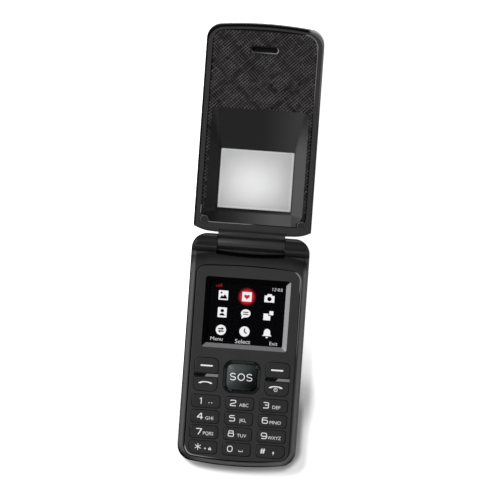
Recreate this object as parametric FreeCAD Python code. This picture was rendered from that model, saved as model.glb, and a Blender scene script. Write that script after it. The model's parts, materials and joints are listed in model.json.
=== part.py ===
import FreeCAD, Part
import math
import os
from FreeCAD import Vector

# Flip phone, lying open on its back. Sizes in millimetres.
# The origin is the middle of the lower body's flat back. X runs across the phone, Y from the keypad's
# end towards the hinge and the lid, and Z up out of the keypad.

# Clearances, and what a cutting tool reaches past the surface that it cuts
running_gap = 0.05
seat_gap = 0.03
slip_gap = 0.1
hair = 0.01
sliver = 0.001
overshoot = 1.0
near_zero = 1e-3
least_radius = 0.1

# Lower body, outside
body_width = 52.2
body_length = 101.85
body_depth = 11.6
body_end_crown = 2.4
body_corner_r = 6.8
front_edge_r = 2.4
back_edge_r = 2.6
wall = 1.5
front_depth = 5.25
housing_floor = 1.0
inside_corner_r = 1.0
rear_hollow_corner_r = 1.5
rear_post_wall = 0.4
tray_thickness = 0.6

# Hinge
knuckle_r = 3.9
knuckle_edge_r = 2.6
axis_lift = 0.4
open_angle = 168.0
shoulder_width = 11.3
barrel_r_middle = 4.25
barrel_r_end = 3.45
barrel_side_gap = 0.3
barrel_gap = 1.6
barrel_groove_depth = 0.35
barrel_groove_from = 17.0
barrel_groove_to = 45.0
neck_thickness = 3.8
neck_fillet_r = 1.2
neck_into_lid = 2.0
module_r = 2.65
module_end_wall = 4.4
shaft_r = 1.6
shaft_in_module = 5.0
shaft_in_barrel = 6.0
pivot_r = 2.2
pivot_bore_r = 1.3
pivot_in_knuckle = 7.0
pivot_in_barrel = 3.4

# Lid, measured from the hinge axis along the lid
lid_side_step = 0.1
lid_end_over = 0.85
lid_depth = 7.0
lid_lift = 0.4
lid_end_crown = 2.0
lid_corner_r = 6.8
lid_hinge_edge = 4.2
lid_hinge_rise = 0.5
lid_hinge_side = 6.8
lid_hinge_corner = 7.0
lid_hinge_bend = 0.3
lid_hinge_corner_r = 0.8
lid_back_edge_r = 2.2
lid_inner_edge_r = 0.9
lid_split = 3.0
lid_wall = 1.4
lid_floor = 0.8
lid_inside_corner_r = 1.0

# Textured insert of the lid
insert_side = 3.0
insert_near = 9.2
insert_end = 2.1
insert_crown = 1.5
insert_corner_r = 4.6
insert_near_corner_r = 0.6
insert_thickness = 0.6
insert_sink = 0.15
insert_gap = 0.12

# Viewing funnel and window of the lid
funnel_side = 1.45
funnel_near_slope = 4.1
funnel_far_slope = 19.5
funnel_far_corner_r = 3.0
funnel_near_corner_r = 4.6
funnel_clear_of_cap = 0.1
funnel_wall = 1.0
funnel_lip = 0.25
funnel_gap = 0.1
funnel_rim_root = 0.2
flange_corner_r = 0.3
window_inside_display = 2.65
window_before_display = 0.35
window_short_of_display = 4.85
window_corner_r = 0.4
pane_thickness = 1.0
pane_lap = 1.6
pane_sink = 0.1
pane_shelf = 0.4
pane_seat_wall = 1.0
pane_gap = 0.05
pane_edge_r = 0.25
pane_frame_inset = 0.3

# Earpiece
earpiece_from_end = 11.0
earpiece_slot_length = 11.0
earpiece_slot_width = 1.7
earpiece_bevel = 0.45
receiver_length = 12.0
receiver_width = 6.5
receiver_depth = 2.6
receiver_corner_r = 1.5
mesh_margin = 0.8
mesh_thickness = 0.15
mesh_corner_r = 0.8

# Screw caps and screws of the lid
cap_side = 4.55
cap_at = 9.9
cap_r = 1.9
cap_thickness = 1.2
cap_proud = 0.3
cap_edge_r = 0.25
insert_clear_of_cap = 0.5
lid_screw_r = 0.7
lid_screw_head_r = 1.3
lid_screw_head = 0.5
lid_boss_r = 1.6
lid_boss_root = 0.2
lid_drive_half = 0.7
lid_drive_slot = 0.15
lid_drive_depth = 0.25

# Magnet that tells the phone that the lid is shut
magnet_x = -12.0
magnet_from_end = 20.8
magnet_r = 2.0
magnet_thickness = 1.2

# Flat cable from the earpiece through the hinge to the main board
flex_width = 1.8
flex_thickness = 0.2
flex_channel_gap = 0.2
flex_side_gap = 0.15
flex_from_barrel_end = 5.2
flex_bore_gap = 0.3
flex_turn_at = 0.3
flex_turn_room = 0.5
flex_neck_reach = 5.0
flex_neck_floor = 1.0
flex_climb_at = 1.2
flex_overlap = 0.6
flex_room_reach = 1.0
flex_room_height = 1.2
flex_plug_at = 0.3
flex_plug_length = 1.1

# Front panel, measured from the hinge axis down the body
panel_side = 3.05
panel_top = 9.75
panel_end = 2.5
panel_top_crown = 0.95
panel_bottom_crown = 1.6
panel_corner_r = 4.0
panel_thickness = 1.3
panel_edge_r = 0.3
panel_gap = 0.15

# Display
display_side = 4.2
display_from_panel = 5.2
display_to_keys = 4.7
display_corner_r = 1.2
display_bevel = 2.0
display_inner_corner_r = 0.3
display_lip = 0.4
lens_thickness = 0.65
lens_lap = 0.6
lens_gap = 0.05
lcd_border = 1.6
lcd_depth = 2.0
lcd_gap = 0.1
lcd_corner_r = 0.5

# Keys
key_gap = 0.2
key_travel = 0.3
key_stop_gap = 0.05
key_flange = 0.4
key_flange_thickness = 0.6
key_flange_gap = 0.1
key_edge_r = 0.3
number_side = 1.9
number_column_gap = 2.55
number_columns = 3
number_height = 5.6
number_pitch_y = 6.75
number_last_row_from_end = 5.05
number_rows = 4
number_corner_r = 1.4
number_outer_corner_r = 2.6
side_key_side = 2.05
side_key_to_ring = 2.2
soft_key_height = 6.7
soft_to_call = 2.0
call_key_height = 6.0
call_to_numbers = 1.7
side_key_outer_r = 2.5
side_key_inner_r = 0.6
bar_over_key = 0.2
bar_height = 1.3
bar_proud = 0.15
bar_edge_r = 0.25
bar_corner_r = 0.25
sos_width = 13.7
sos_height = 11.8
sos_below_middle = 0.2
sos_corner_r = 2.6
sos_proud = 0.25
sos_edge_r = 0.7
ring_width = 1.45
ring_drop = 0.6
ring_gap = 0.1
ring_flat = 0.15

# Keypad layers and main board
board_thickness = 0.8
board_gap = 0.15
board_side = 2.5
board_top = 8.6
board_end = 2.75
board_top_corner_r = 1.0
board_notch_gap = 0.25
dome_sheet_thickness = 0.1
dome_r = 2.0
dome_height = 0.3
mat_thickness = 0.3
mat_nub_r = 0.9
mat_margin = 0.8
mat_end_margin = 0.2
shield_height = 1.3
shield_sheet = 0.2
shield_from_camera = 2.8
shield_from_board_edge = 5.0
shield_top = 12.0
shield_from_bay = 3.5

# Battery, its bay and its cover
cover_side = 3.7
cover_over_bay = 2.0
cover_thickness = 1.2
cover_gap = 0.15
cover_tab_length = 6.0
cover_tab_width = 0.7
cover_tab_root = 0.5
cover_tab_thickness = 0.5
cover_tab_first_from_top = 9.0
cover_tab_last_from_end = 15.95
cover_tab_count = 3
cover_rib_count = 4
cover_rib_pitch = 1.8
cover_rib_width = 0.8
cover_rib_depth = 0.3
cover_rib_length = 14.0
cover_rib_first_from_top = 6.0
bay_side = 7.7
bay_end = 6.95
bay_end_wall = 1.0
battery_side_gap = 0.4
battery_roof_gap = 0.25
battery_gap = 0.2
battery_edge_r = 0.9
battery_face_edge_r = 0.5
contact_block_width = 11.0
contact_block_length = 1.6
contact_block_height = 3.4
contact_count = 3
contact_pitch = 2.8
contact_r = 0.35
contact_root = 0.45
contact_drop = 1.6
sim_width = 17.0
sim_length = 13.6
sim_height = 1.5
sim_x = -6.0
sim_from_bay = 0.6
sim_to_contacts = 0.8
sim_wall = 0.8
sim_floor = 0.3
sim_roof = 0.35

# Pieces behind the display
speaker_side = 13.6
speaker_at = 18.5
speaker_r = 7.4
speaker_to_shield = 0.4
speaker_gap = 0.2
speaker_rim = 1.0
speaker_cone_inset = 3.5
speaker_cone_depth = 0.8
grille_count = 5
grille_pitch = 2.0
grille_width = 0.9
grille_length = 9.0
camera_from_jack = 1.4
camera_at = 23.0
camera_size = 8.4
camera_to_board = 0.9
camera_window_r = 3.4
camera_window_thickness = 1.0
camera_window_sink = 0.1
camera_gap = 0.3
camera_to_bay = 2.3
camera_barrel_inset = 0.6
camera_barrel_proud = 0.2
motor_x = -3.4
motor_at = 13.4
motor_r = 4.0
motor_depth = 2.7
jack_at = 19.2
jack_bore_r = 1.8
jack_bore_length = 14.0
jack_width = 6.0
jack_to_board = 0.5
jack_floor = 1.4
jack_inset = 0.3
jack_end_wall = 1.0
jack_nose_wall = 0.32
jack_nose_root = 0.5

# Pieces at the lower end
port_width = 7.6
port_depth = 5.6
port_height = 2.7
port_shell = 0.3
port_tongue = 0.5
port_tongue_side = 1.4
port_tongue_inset = 0.8
port_inset = 0.25
antenna_side = 19.6
antenna_width = 15.0
antenna_depth = 3.2
antenna_floor = 0.8
microphone_side = 16.1
microphone_r = 1.9
microphone_height = 1.4
microphone_hole_r = 0.45
end_piece_gap = 0.2
end_piece_inset = 1.0

# Screws that join the two housings
screw_r = 0.75
screw_head_r = 1.4
screw_head = 0.7
screw_boss_r = 1.6
screw_boss_root = 0.3
screw_hole_end = 0.2
screw_drive_half = 0.8
screw_drive_slot = 0.16
screw_drive_depth = 0.35
screw_top_side = 4.9
screw_top_at = 11.6
screw_middle_side = 5.5
screw_below_display = 2.15
screw_head_sink = 2.2

# Derived places
body_half = body_width / 2
y_low = -body_length / 2
y_high = body_length / 2
axis_y = y_high - knuckle_r
axis_z = body_depth + axis_lift
body_reach = body_length - knuckle_r
lid_half = body_half - lid_side_step
lid_length = body_reach + lid_end_over
split_height = body_depth - front_depth
tilt = 180.0 - open_angle
lid_top = -lid_lift
lid_bottom = lid_top - lid_depth
lid_split_z = lid_top - lid_split
panel_z = body_depth - panel_thickness
floor_top_z = panel_z - seat_gap
floor_low_z = floor_top_z - housing_floor
flange_top_z = floor_low_z - key_flange_gap
key_low_z = flange_top_z - key_flange_thickness
boss_top_z = key_low_z - key_travel - key_stop_gap
board_low_z = split_height + board_gap
board_top_z = board_low_z + board_thickness
dome_low_z = board_top_z + dome_sheet_thickness
mat_low_z = boss_top_z - mat_thickness
tray_low_z = split_height - tray_thickness
barrel_half = body_half - shoulder_width
slot_half = barrel_half + barrel_side_gap
slot_edge = barrel_r_middle + barrel_gap
module_length = shoulder_width - barrel_side_gap - module_end_wall
board_flex_x = slot_half + pivot_in_knuckle + flex_side_gap
flex_barrel_x = barrel_half - flex_from_barrel_end

# Derived places on the front panel
panel_half = body_half - panel_side
panel_bottom = body_reach - panel_end
number_width = (2 * (panel_half - number_side) - (number_columns - 1) * number_column_gap) / number_columns
number_pitch_x = number_width + number_column_gap
number_last_row = panel_bottom - number_last_row_from_end
number_first_row = number_last_row - (number_rows - 1) * number_pitch_y
number_bottom = number_last_row + number_height / 2
call_key_bottom = number_first_row - number_height / 2 - call_to_numbers
call_key_top = call_key_bottom - call_key_height
soft_key_bottom = call_key_top - soft_to_call
soft_key_top = soft_key_bottom - soft_key_height
side_key_width = panel_half - side_key_side - (sos_width / 2 + ring_width + side_key_to_ring)
side_key_x = panel_half - side_key_side - side_key_width / 2
bar_width = side_key_width + 2 * bar_over_key
sos_middle = (soft_key_top + call_key_bottom) / 2 + sos_below_middle
display_half = panel_half - display_side
display_top = panel_top + display_from_panel
display_bottom = soft_key_top - display_to_keys

# Derived places inside the lower body
board_half = body_half - board_side
board_bottom = body_reach - board_end
jack_end_x = -body_half + jack_inset + jack_bore_length + jack_end_wall
camera_x = jack_end_x + camera_from_jack + camera_size / 2
speaker_x = body_half - speaker_side
speaker_depth = board_low_z - shield_height - speaker_to_shield - wall - speaker_gap
camera_low_z = camera_window_sink + camera_window_thickness + camera_gap
camera_depth = board_low_z - camera_to_board - camera_low_z
jack_height = board_low_z - jack_to_board - jack_floor
bay_top = camera_at + camera_size / 2 + camera_to_bay + wall
bay_bottom = body_reach - bay_end
bay_half = body_half - bay_side
shield_left = camera_x + camera_size / 2 + shield_from_camera
shield_right = board_half - shield_from_board_edge
shield_bottom = bay_top - shield_from_bay
cover_half = body_half - cover_side
cover_top = bay_top - cover_over_bay
cover_tab_first = cover_top + cover_tab_first_from_top
cover_tab_pitch = (body_reach - cover_tab_last_from_end - cover_tab_first) / (cover_tab_count - 1)
sim_end = bay_top + sim_from_bay + sim_length
battery_start = sim_end + sim_to_contacts + contact_block_length + battery_gap
battery_length = bay_bottom - battery_gap - battery_start
battery_width = 2 * (bay_half - battery_side_gap)
battery_low_z = cover_thickness + battery_gap
battery_depth = tray_low_z - battery_low_z - battery_roof_gap
antenna_height = split_height - (cover_thickness + cover_gap + antenna_floor)
end_piece_y = y_low + wall + end_piece_inset
antenna_x = body_half - antenna_side
microphone_x = microphone_side - body_half
screw_top_x = body_half - screw_top_side
screw_middle_x = body_half - screw_middle_side
screw_middle_at = display_bottom + screw_below_display

# Derived places on the lid
insert_half = lid_half - insert_side
insert_far = lid_length - insert_end
window_half = display_half - window_inside_display
window_near = display_top - window_before_display
window_far = display_bottom - window_short_of_display
funnel_half = insert_half - funnel_side
funnel_near = window_near - funnel_near_slope
funnel_far = window_far + funnel_far_slope
cap_x = lid_half - cap_side
earpiece_at = lid_length - earpiece_from_end
magnet_at = lid_length - magnet_from_end
lid_hinge_straight = lid_half - lid_hinge_corner

BIG = 400.0


def below(distance):
    """Y of a place on the lower body, given its distance from the hinge axis."""
    return axis_y - distance


def box(x0, x1, y0, y1, z0, z1):
    corner = Vector(min(x0, x1), min(y0, y1), min(z0, z1))
    return Part.makeBox(abs(x1 - x0), abs(y1 - y0), abs(z1 - z0), corner)


def disc(x, y, r, z0, z1):
    return Part.makeCylinder(r, z1 - z0, Vector(x, y, z0), Vector(0, 0, 1))


def rod(x0, x1, y, z, r):
    """Round bar along X."""
    return Part.makeCylinder(r, x1 - x0, Vector(x0, y, z), Vector(1, 0, 0))


def arc_or_line(a, b, c):
    if abs((b - a).cross(c - a).z) < near_zero:
        return Part.makeLine(a, c)
    return Part.Arc(a, b, c).toShape()


def upright_edges(solid):
    found = []
    for edge in solid.Edges:
        size = edge.BoundBox
        if size.XLength < near_zero and size.YLength < near_zero and size.ZLength > near_zero:
            found.append(edge)
    return found


def level_edges(solid, z):
    """Edges that lie in the level plane z."""
    found = []
    for edge in solid.Edges:
        size = edge.BoundBox
        if abs(size.ZMin - z) < near_zero and abs(size.ZMax - z) < near_zero:
            found.append(edge)
    return found


def round_corners(solid, r_low, r_high, y_middle):
    """Round the upright edges, with one radius at the low-Y end and one at the high-Y end."""
    for radius, high_end in ((r_low, False), (r_high, True)):
        outermost = solid.BoundBox.XMax - near_zero
        edges = [e for e in upright_edges(solid)
                 if (e.CenterOfMass.y >= y_middle) == high_end and abs(e.CenterOfMass.x) > outermost]
        if radius > 0 and edges:
            solid = solid.makeFillet(radius, edges)
    return solid


def plate(half, y0, y1, crown0, crown1, r0, r1, z0, z1):
    """Plate with straight sides, crowned ends and rounded corners."""
    low_left = Vector(-half, y0 + crown0, z0)
    low_right = Vector(half, y0 + crown0, z0)
    high_right = Vector(half, y1 - crown1, z0)
    high_left = Vector(-half, y1 - crown1, z0)
    edges = [
        arc_or_line(low_left, Vector(0, y0, z0), low_right),
        Part.makeLine(low_right, high_right),
        arc_or_line(high_right, Vector(0, y1, z0), high_left),
        Part.makeLine(high_left, low_left),
    ]
    solid = Part.Face(Part.Wire(edges)).extrude(Vector(0, 0, z1 - z0))
    return round_corners(solid, r0, r1, (y0 + y1) / 2)


def pad(x, y, width, height, radii, z0, z1):
    """Rounded rectangle block. radii: low left, low right, high right, high left."""
    solid = box(x - width / 2, x + width / 2, y - height / 2, y + height / 2, z0, z1)
    places = [(-1, -1), (1, -1), (1, 1), (-1, 1)]
    for (side_x, side_y), radius in zip(places, radii):
        if radius <= 0:
            continue
        corner = Vector(x + side_x * width / 2, y + side_y * height / 2, (z0 + z1) / 2)
        edges = [e for e in upright_edges(solid) if e.CenterOfMass.distanceToPoint(corner) < near_zero]
        solid = solid.makeFillet(radius, edges)
    return solid


def slot_block(x, y, length, width, z0, z1):
    """Block with the outline of a long hole whose ends are round."""
    return pad(x, y, length, width, [width / 2 - hair] * 4, z0, z1)


def cross_drive(x, y, half, slot, z0, z1):
    """Cross-shaped recess for a screwdriver."""
    return fuse(box(x - half, x + half, y - slot, y + slot, z0, z1),
                box(x - slot, x + slot, y - half, y + half, z0, z1))


def fuse(first, *others):
    return first.multiFuse(list(others)).removeSplitter() if others else first


def cut(first, *others):
    return first.cut(list(others)) if others else first


def crowned_bar(half, r_middle, r_end):
    """Solid of revolution about X, thickest in the middle."""
    profile = [
        Part.makeLine(Vector(-half, 0, 0), Vector(-half, 0, r_end)),
        Part.Arc(Vector(-half, 0, r_end), Vector(0, 0, r_middle), Vector(half, 0, r_end)).toShape(),
        Part.makeLine(Vector(half, 0, r_end), Vector(half, 0, 0)),
        Part.makeLine(Vector(half, 0, 0), Vector(-half, 0, 0)),
    ]
    face = Part.Face(Part.Wire(profile))
    return face.revolve(Vector(0, 0, 0), Vector(1, 0, 0), 360)


def on_axis(shape):
    """Move a shape that was made about the origin to the hinge axis."""
    shape = shape.copy()
    shape.translate(Vector(0, axis_y, axis_z))
    return shape


def raise_lid(shape):
    """Turn a lid piece, made lying level beyond the axis, to where the open lid rests."""
    shape = shape.copy()
    shape.rotate(Vector(0, 0, 0), Vector(1, 0, 0), tilt)
    return on_axis(shape)


def key_table():
    """Every key: its name, centre, size and corner radii."""
    keys = []
    r = number_corner_r
    names = [["key_1", "key_2", "key_3"], ["key_4", "key_5", "key_6"],
             ["key_7", "key_8", "key_9"], ["key_star", "key_0", "key_hash"]]
    for row, row_names in enumerate(names):
        y = below(number_first_row + row * number_pitch_y)
        last = row == len(names) - 1
        for column, name in enumerate(row_names):
            radii = [r, r, r, r]
            if last and column == 0:
                radii[0] = number_outer_corner_r
            if last and column == 2:
                radii[1] = number_outer_corner_r
            x = (column - 1) * number_pitch_x
            keys.append((name, x, y, number_width, number_height, radii))
    outer = side_key_outer_r
    inner = side_key_inner_r
    soft_y = below((soft_key_top + soft_key_bottom) / 2)
    call_y = below((call_key_top + call_key_bottom) / 2)
    soft_radii = [inner, inner, outer, outer]
    call_radii = [outer, outer, inner, inner]
    keys.append(("soft_key_left", -side_key_x, soft_y, side_key_width, soft_key_height, soft_radii))
    keys.append(("soft_key_right", side_key_x, soft_y, side_key_width, soft_key_height, soft_radii))
    keys.append(("call_key", -side_key_x, call_y, side_key_width, call_key_height, call_radii))
    keys.append(("end_key", side_key_x, call_y, side_key_width, call_key_height, call_radii))
    keys.append(("sos_key", 0, below(sos_middle), sos_width, sos_height, [sos_corner_r] * 4))
    return keys


KEYS = key_table()


def key_block(key, grow, z0, z1):
    """A key's outline grown all round by the given amount."""
    name, x, y, width, height, radii = key
    grown = [max(radius + grow, least_radius) for radius in radii]
    return pad(x, y, width + 2 * grow, height + 2 * grow, grown, z0, z1)


def body_blank():
    """Whole outer form of the lower body, before it is split and hollowed."""
    block = plate(body_half, y_low, y_high, body_end_crown, 0, body_corner_r, body_corner_r, 0, body_depth)
    block = block.makeFillet(back_edge_r, level_edges(block, 0))
    block = block.makeFillet(front_edge_r, level_edges(block, body_depth))
    tall = plate(body_half, y_low, y_high, body_end_crown, 0, body_corner_r, body_corner_r,
                 split_height, axis_z + knuckle_r)
    side = [
        Part.makeLine(Vector(-BIG, y_high, 0), Vector(-BIG, y_high, axis_z)),
        Part.Arc(Vector(-BIG, y_high, axis_z), Vector(-BIG, axis_y, axis_z + knuckle_r),
                 Vector(-BIG, axis_y - knuckle_r, axis_z)).toShape(),
        Part.makeLine(Vector(-BIG, axis_y - knuckle_r, axis_z), Vector(-BIG, axis_y - knuckle_r, 0)),
        Part.makeLine(Vector(-BIG, axis_y - knuckle_r, 0), Vector(-BIG, y_high, 0)),
    ]
    rounded = Part.Face(Part.Wire(side)).extrude(Vector(2 * BIG, 0, 0))
    front_view = box(-body_half, body_half, -BIG, BIG, 0, axis_z + knuckle_r)
    top_edges = [e for e in front_view.Edges if e.BoundBox.YLength > 1 and e.BoundBox.ZMin > axis_z]
    knuckle = tall.common(rounded).common(front_view.makeFillet(knuckle_edge_r, top_edges))
    return fuse(block, knuckle)


def barrel_slot():
    """Room between the knuckles in which the lid's barrel and neck turn."""
    r_end = barrel_r_end + barrel_gap
    room = crowned_bar(slot_half, slot_edge, r_end)
    behind = box(-slot_half, slot_half, 0, BIG, -(barrel_r_end + barrel_gap), BIG)
    above = box(-slot_half, slot_half, -r_end, BIG, 0, BIG)
    return on_axis(fuse(room, behind, above))


def make_housings():
    """Front and rear housings, hollowed and cut for everything that they hold."""
    blank = cut(body_blank(), barrel_slot())
    above = box(-BIG, BIG, -BIG, BIG, split_height, BIG)
    under = box(-BIG, BIG, -BIG, BIG, -BIG, split_height)
    inner_top = below(slot_edge + wall)
    hollow = plate(body_half - wall, y_low + wall, inner_top, body_end_crown, 0, body_corner_r - wall,
                   inside_corner_r, split_height - overshoot, floor_low_z)
    panel_room = plate(panel_half + panel_gap, below(panel_bottom + panel_gap), below(panel_top - panel_gap),
                       panel_bottom_crown, panel_top_crown, panel_corner_r + panel_gap,
                       panel_corner_r + panel_gap, floor_top_z, BIG)
    lens_room = pad(0, below((display_top + display_bottom) / 2), 2 * (display_half + lens_lap + lens_gap),
                    display_bottom - display_top + 2 * (lens_lap + lens_gap), [display_corner_r] * 4,
                    floor_low_z - overshoot, BIG)
    front = cut(blank.common(above), hollow, panel_room, lens_room)
    holes = [key_block(key, key_gap, floor_low_z - overshoot, BIG) for key in KEYS]
    front = front.cut(holes)
    bosses = []
    for x, y in screw_places():
        boss = disc(x, y, screw_boss_r, split_height + board_gap, floor_low_z + screw_boss_root)
        bosses.append(boss)
    front = fuse(front, *bosses)
    front = front.cut([disc(x, y, screw_r, 0, floor_low_z - screw_hole_end) for x, y in screw_places()])
    module_room = rod(-slot_half - module_length - seat_gap, -slot_half + overshoot, axis_y, axis_z,
                      module_r + seat_gap)
    pivot_room = rod(slot_half - overshoot, slot_half + pivot_in_knuckle + running_gap, axis_y, axis_z,
                     pivot_r + running_gap)
    room = end_piece_gap
    port_room = box(-port_width / 2 - room, port_width / 2 + room, -BIG, y_low + port_depth + room,
                    0, board_low_z + room)
    front = front.cut([module_room, pivot_room, port_room] + flex_rooms())

    rear = blank.common(under)
    rear = cut(rear, rear_hollow(), battery_bay(), cover_room(), *rear_openings())
    return front, rear


def screw_places():
    places = []
    for side in (-1, 1):
        places.append((side * screw_top_x, below(screw_top_at)))
        places.append((side * screw_middle_x, below(screw_middle_at)))
    return places


def flex_rooms():
    """Room for the flat cable from the right knuckle down to the main board."""
    x0 = board_flex_x - 2 * flex_side_gap
    x1 = board_flex_x + flex_width + flex_channel_gap
    drop = box(x0, x1, axis_y - pivot_bore_r, axis_y + pivot_bore_r, board_top_z, axis_z + pivot_bore_r)
    back = box(x0, x1, below(slot_edge + wall + flex_room_reach), axis_y + pivot_bore_r,
               board_top_z, board_top_z + flex_room_height)
    return [drop, back]


def rear_hollow():
    """Space behind the display that holds the loudspeaker, camera, motor and headphone jack."""
    low = below(bay_top - wall)
    high = below(slot_edge + wall)
    corner = rear_hollow_corner_r
    space = plate(body_half - 2 * wall, low, high, 0, 0, corner, corner, wall, BIG)
    posts = [disc(x, y, screw_boss_r + rear_post_wall, 0, BIG) for x, y in screw_places()]
    return space.cut(posts)


def battery_bay():
    return box(-bay_half, bay_half, below(bay_bottom), below(bay_top), -BIG, tray_low_z)


def cover_blank(gap):
    """Outline of the battery cover, grown by gap at its top end and sides."""
    half = cover_half + gap
    return box(-half, half, -BIG, below(cover_top - gap), -BIG, cover_thickness + gap)


def cover_tabs(gap):
    tabs = []
    z0 = cover_thickness - cover_tab_thickness - gap
    z1 = cover_thickness + gap
    for number in range(cover_tab_count):
        y = below(cover_tab_first + number * cover_tab_pitch)
        for side in (-1, 1):
            x0 = side * (cover_half - cover_tab_root)
            x1 = side * (cover_half + cover_tab_width + gap)
            tabs.append(box(x0, x1, y - cover_tab_length / 2, y + cover_tab_length / 2, z0, z1))
    return tabs


def cover_room():
    """Recess of the battery cover, open at the lower end, with a groove along each side for its tabs."""
    grooves = []
    z0 = cover_thickness - cover_tab_thickness - cover_gap
    z1 = cover_thickness + cover_gap
    for side in (-1, 1):
        x0 = side * (cover_half - cover_tab_root)
        x1 = side * (cover_half + cover_tab_width + cover_gap)
        y1 = below(cover_tab_first - cover_tab_length / 2 - cover_gap)
        grooves.append(box(x0, x1, -BIG, y1, z0, z1))
    return fuse(cover_blank(cover_gap), *grooves)


def speaker_slots():
    """Slots in the back in front of the loudspeaker."""
    slots = []
    for number in range(grille_count):
        y = below(speaker_at) + (number - (grille_count - 1) / 2) * grille_pitch
        slots.append(slot_block(speaker_x, y, grille_length, grille_width, -overshoot, wall + slip_gap))
    return slots


def port_low_z():
    return board_low_z - port_height - seat_gap


def rear_openings():
    """Openings of the rear housing: sound slots, camera, headphone jack, charging port, microphone."""
    tools = speaker_slots()
    tools.append(disc(camera_x, below(camera_at), camera_window_r + seat_gap, -overshoot, wall + slip_gap))
    jack_z = jack_floor + jack_height / 2
    nose_r = jack_bore_r + jack_nose_wall + seat_gap
    tools.append(rod(-BIG, -body_half + 2 * wall + slip_gap, below(jack_at), jack_z, nose_r))
    room = end_piece_gap
    port_z = port_low_z()
    tools.append(box(-port_width / 2 - room, port_width / 2 + room, -BIG,
                     y_low + port_depth + room, port_z - room, BIG))
    bay_end = below(bay_bottom + bay_end_wall)
    tools.append(box(antenna_x - room, antenna_x + antenna_width + room, end_piece_y - room, bay_end,
                     split_height - antenna_height - room, BIG))
    tools.append(disc(microphone_x, end_piece_y + microphone_r, microphone_r + room,
                      split_height - microphone_height - room, BIG))
    hole_z = split_height - microphone_height / 2
    tools.append(Part.makeCylinder(microphone_hole_r, end_piece_y - y_low + 2 * overshoot,
                                   Vector(microphone_x, y_low - overshoot, hole_z), Vector(0, 1, 0)))
    for x, y in screw_places():
        tools.append(disc(x, y, screw_r + slip_gap, 0, BIG))
        tools.append(disc(x, y, screw_head_r + slip_gap, -overshoot, screw_head_sink + screw_head))
    return tools


def make_battery_cover():
    """Cover that slides off towards the lower end: flush with the back, with three tabs a side."""
    cover = body_blank().common(cover_blank(0))
    cover = fuse(cover, *cover_tabs(0))
    ribs = []
    for number in range(cover_rib_count):
        y = below(cover_top + cover_rib_first_from_top + number * cover_rib_pitch)
        ribs.append(slot_block(0, y, cover_rib_length, cover_rib_width, -overshoot, cover_rib_depth))
    return cover.cut(ribs)


def make_battery():
    y = below(battery_start + battery_length / 2)
    pack = pad(0, y, battery_width, battery_length, [battery_edge_r] * 4, battery_low_z,
               battery_low_z + battery_depth)
    return pack.makeFillet(battery_face_edge_r, level_edges(pack, battery_low_z))


def make_contacts():
    """Block beside the battery with sprung contacts that touch its end."""
    y0 = below(battery_start) + battery_gap
    z1 = tray_low_z - seat_gap
    block = box(-contact_block_width / 2, contact_block_width / 2, y0, y0 + contact_block_length,
                z1 - contact_block_height, z1)
    pins = []
    for number in range(contact_count):
        x = (number - (contact_count - 1) / 2) * contact_pitch
        tip = Vector(x, y0 - battery_gap + running_gap, z1 - contact_drop)
        reach = battery_gap - running_gap + contact_root
        pins.append(Part.makeCylinder(contact_r, reach, tip, Vector(0, 1, 0)))
    return fuse(block, *pins)


def make_sim_holder():
    """Low metal cage with an open end for the card."""
    z1 = tray_low_z - seat_gap
    y1 = below(bay_top + sim_from_bay)
    y0 = below(sim_end)
    cage = box(sim_x - sim_width / 2, sim_x + sim_width / 2, y0, y1, z1 - sim_height, z1)
    half = sim_width / 2 - sim_wall
    slot = box(sim_x - half, sim_x + half, y0 - overshoot, y1 - sim_wall,
               z1 - sim_height + sim_floor, z1 - sim_roof)
    return cage.cut(slot)


def make_board():
    board = plate(board_half, below(board_bottom), below(board_top), panel_bottom_crown, 0,
                  panel_corner_r, board_top_corner_r, board_low_z, board_top_z)
    notches = [disc(x, y, screw_boss_r + board_notch_gap, 0, BIG) for x, y in screw_places()]
    return board.cut(notches)


def make_shield():
    """Pressed can over the radio parts on the back of the main board."""
    z0 = board_low_z - shield_height
    y0 = below(shield_bottom)
    y1 = below(shield_top)
    can = box(shield_left, shield_right, y0, y1, z0, board_low_z)
    t = shield_sheet
    return can.cut(box(shield_left + t, shield_right - t, y0 + t, y1 - t, z0 + t, BIG))


def keypad_sheet(z0, z1):
    """Level sheet under the whole keypad."""
    half = number_pitch_x + number_width / 2
    return box(-half, half, below(number_bottom + mat_end_margin), below(soft_key_top - mat_margin), z0, z1)


def make_dome_sheet():
    return keypad_sheet(board_top_z, dome_low_z)


def make_domes():
    """Snap domes, one under each key."""
    domes = []
    ball_r = (dome_r ** 2 + dome_height ** 2) / (2 * dome_height)
    for name, x, y, width, height, radii in KEYS:
        ball = Part.makeSphere(ball_r, Vector(x, y, dome_low_z + dome_height - ball_r))
        domes.append(ball.common(disc(x, y, dome_r + hair, dome_low_z, dome_low_z + overshoot)))
    return Part.makeCompound(domes)


def make_mat():
    """Rubber sheet under the keys with a nub over each dome."""
    sheet = keypad_sheet(mat_low_z, boss_top_z)
    nub_low = dome_low_z + dome_height + seat_gap
    nubs = [disc(x, y, mat_nub_r, nub_low, boss_top_z) for name, x, y, width, height, radii in KEYS]
    return fuse(sheet, *nubs)


def make_key(key):
    """Key cap with a flange that keeps it under the housing's floor."""
    name = key[0]
    if name == "sos_key":
        top = body_depth + sos_proud
        edge_r = sos_edge_r
    else:
        top = body_depth
        edge_r = key_edge_r
    cap = key_block(key, 0, key_low_z, top)
    cap = cap.makeFillet(edge_r, level_edges(cap, top))
    flange = key_block(key, key_flange, key_low_z, flange_top_z)
    return fuse(cap, flange)


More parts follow.
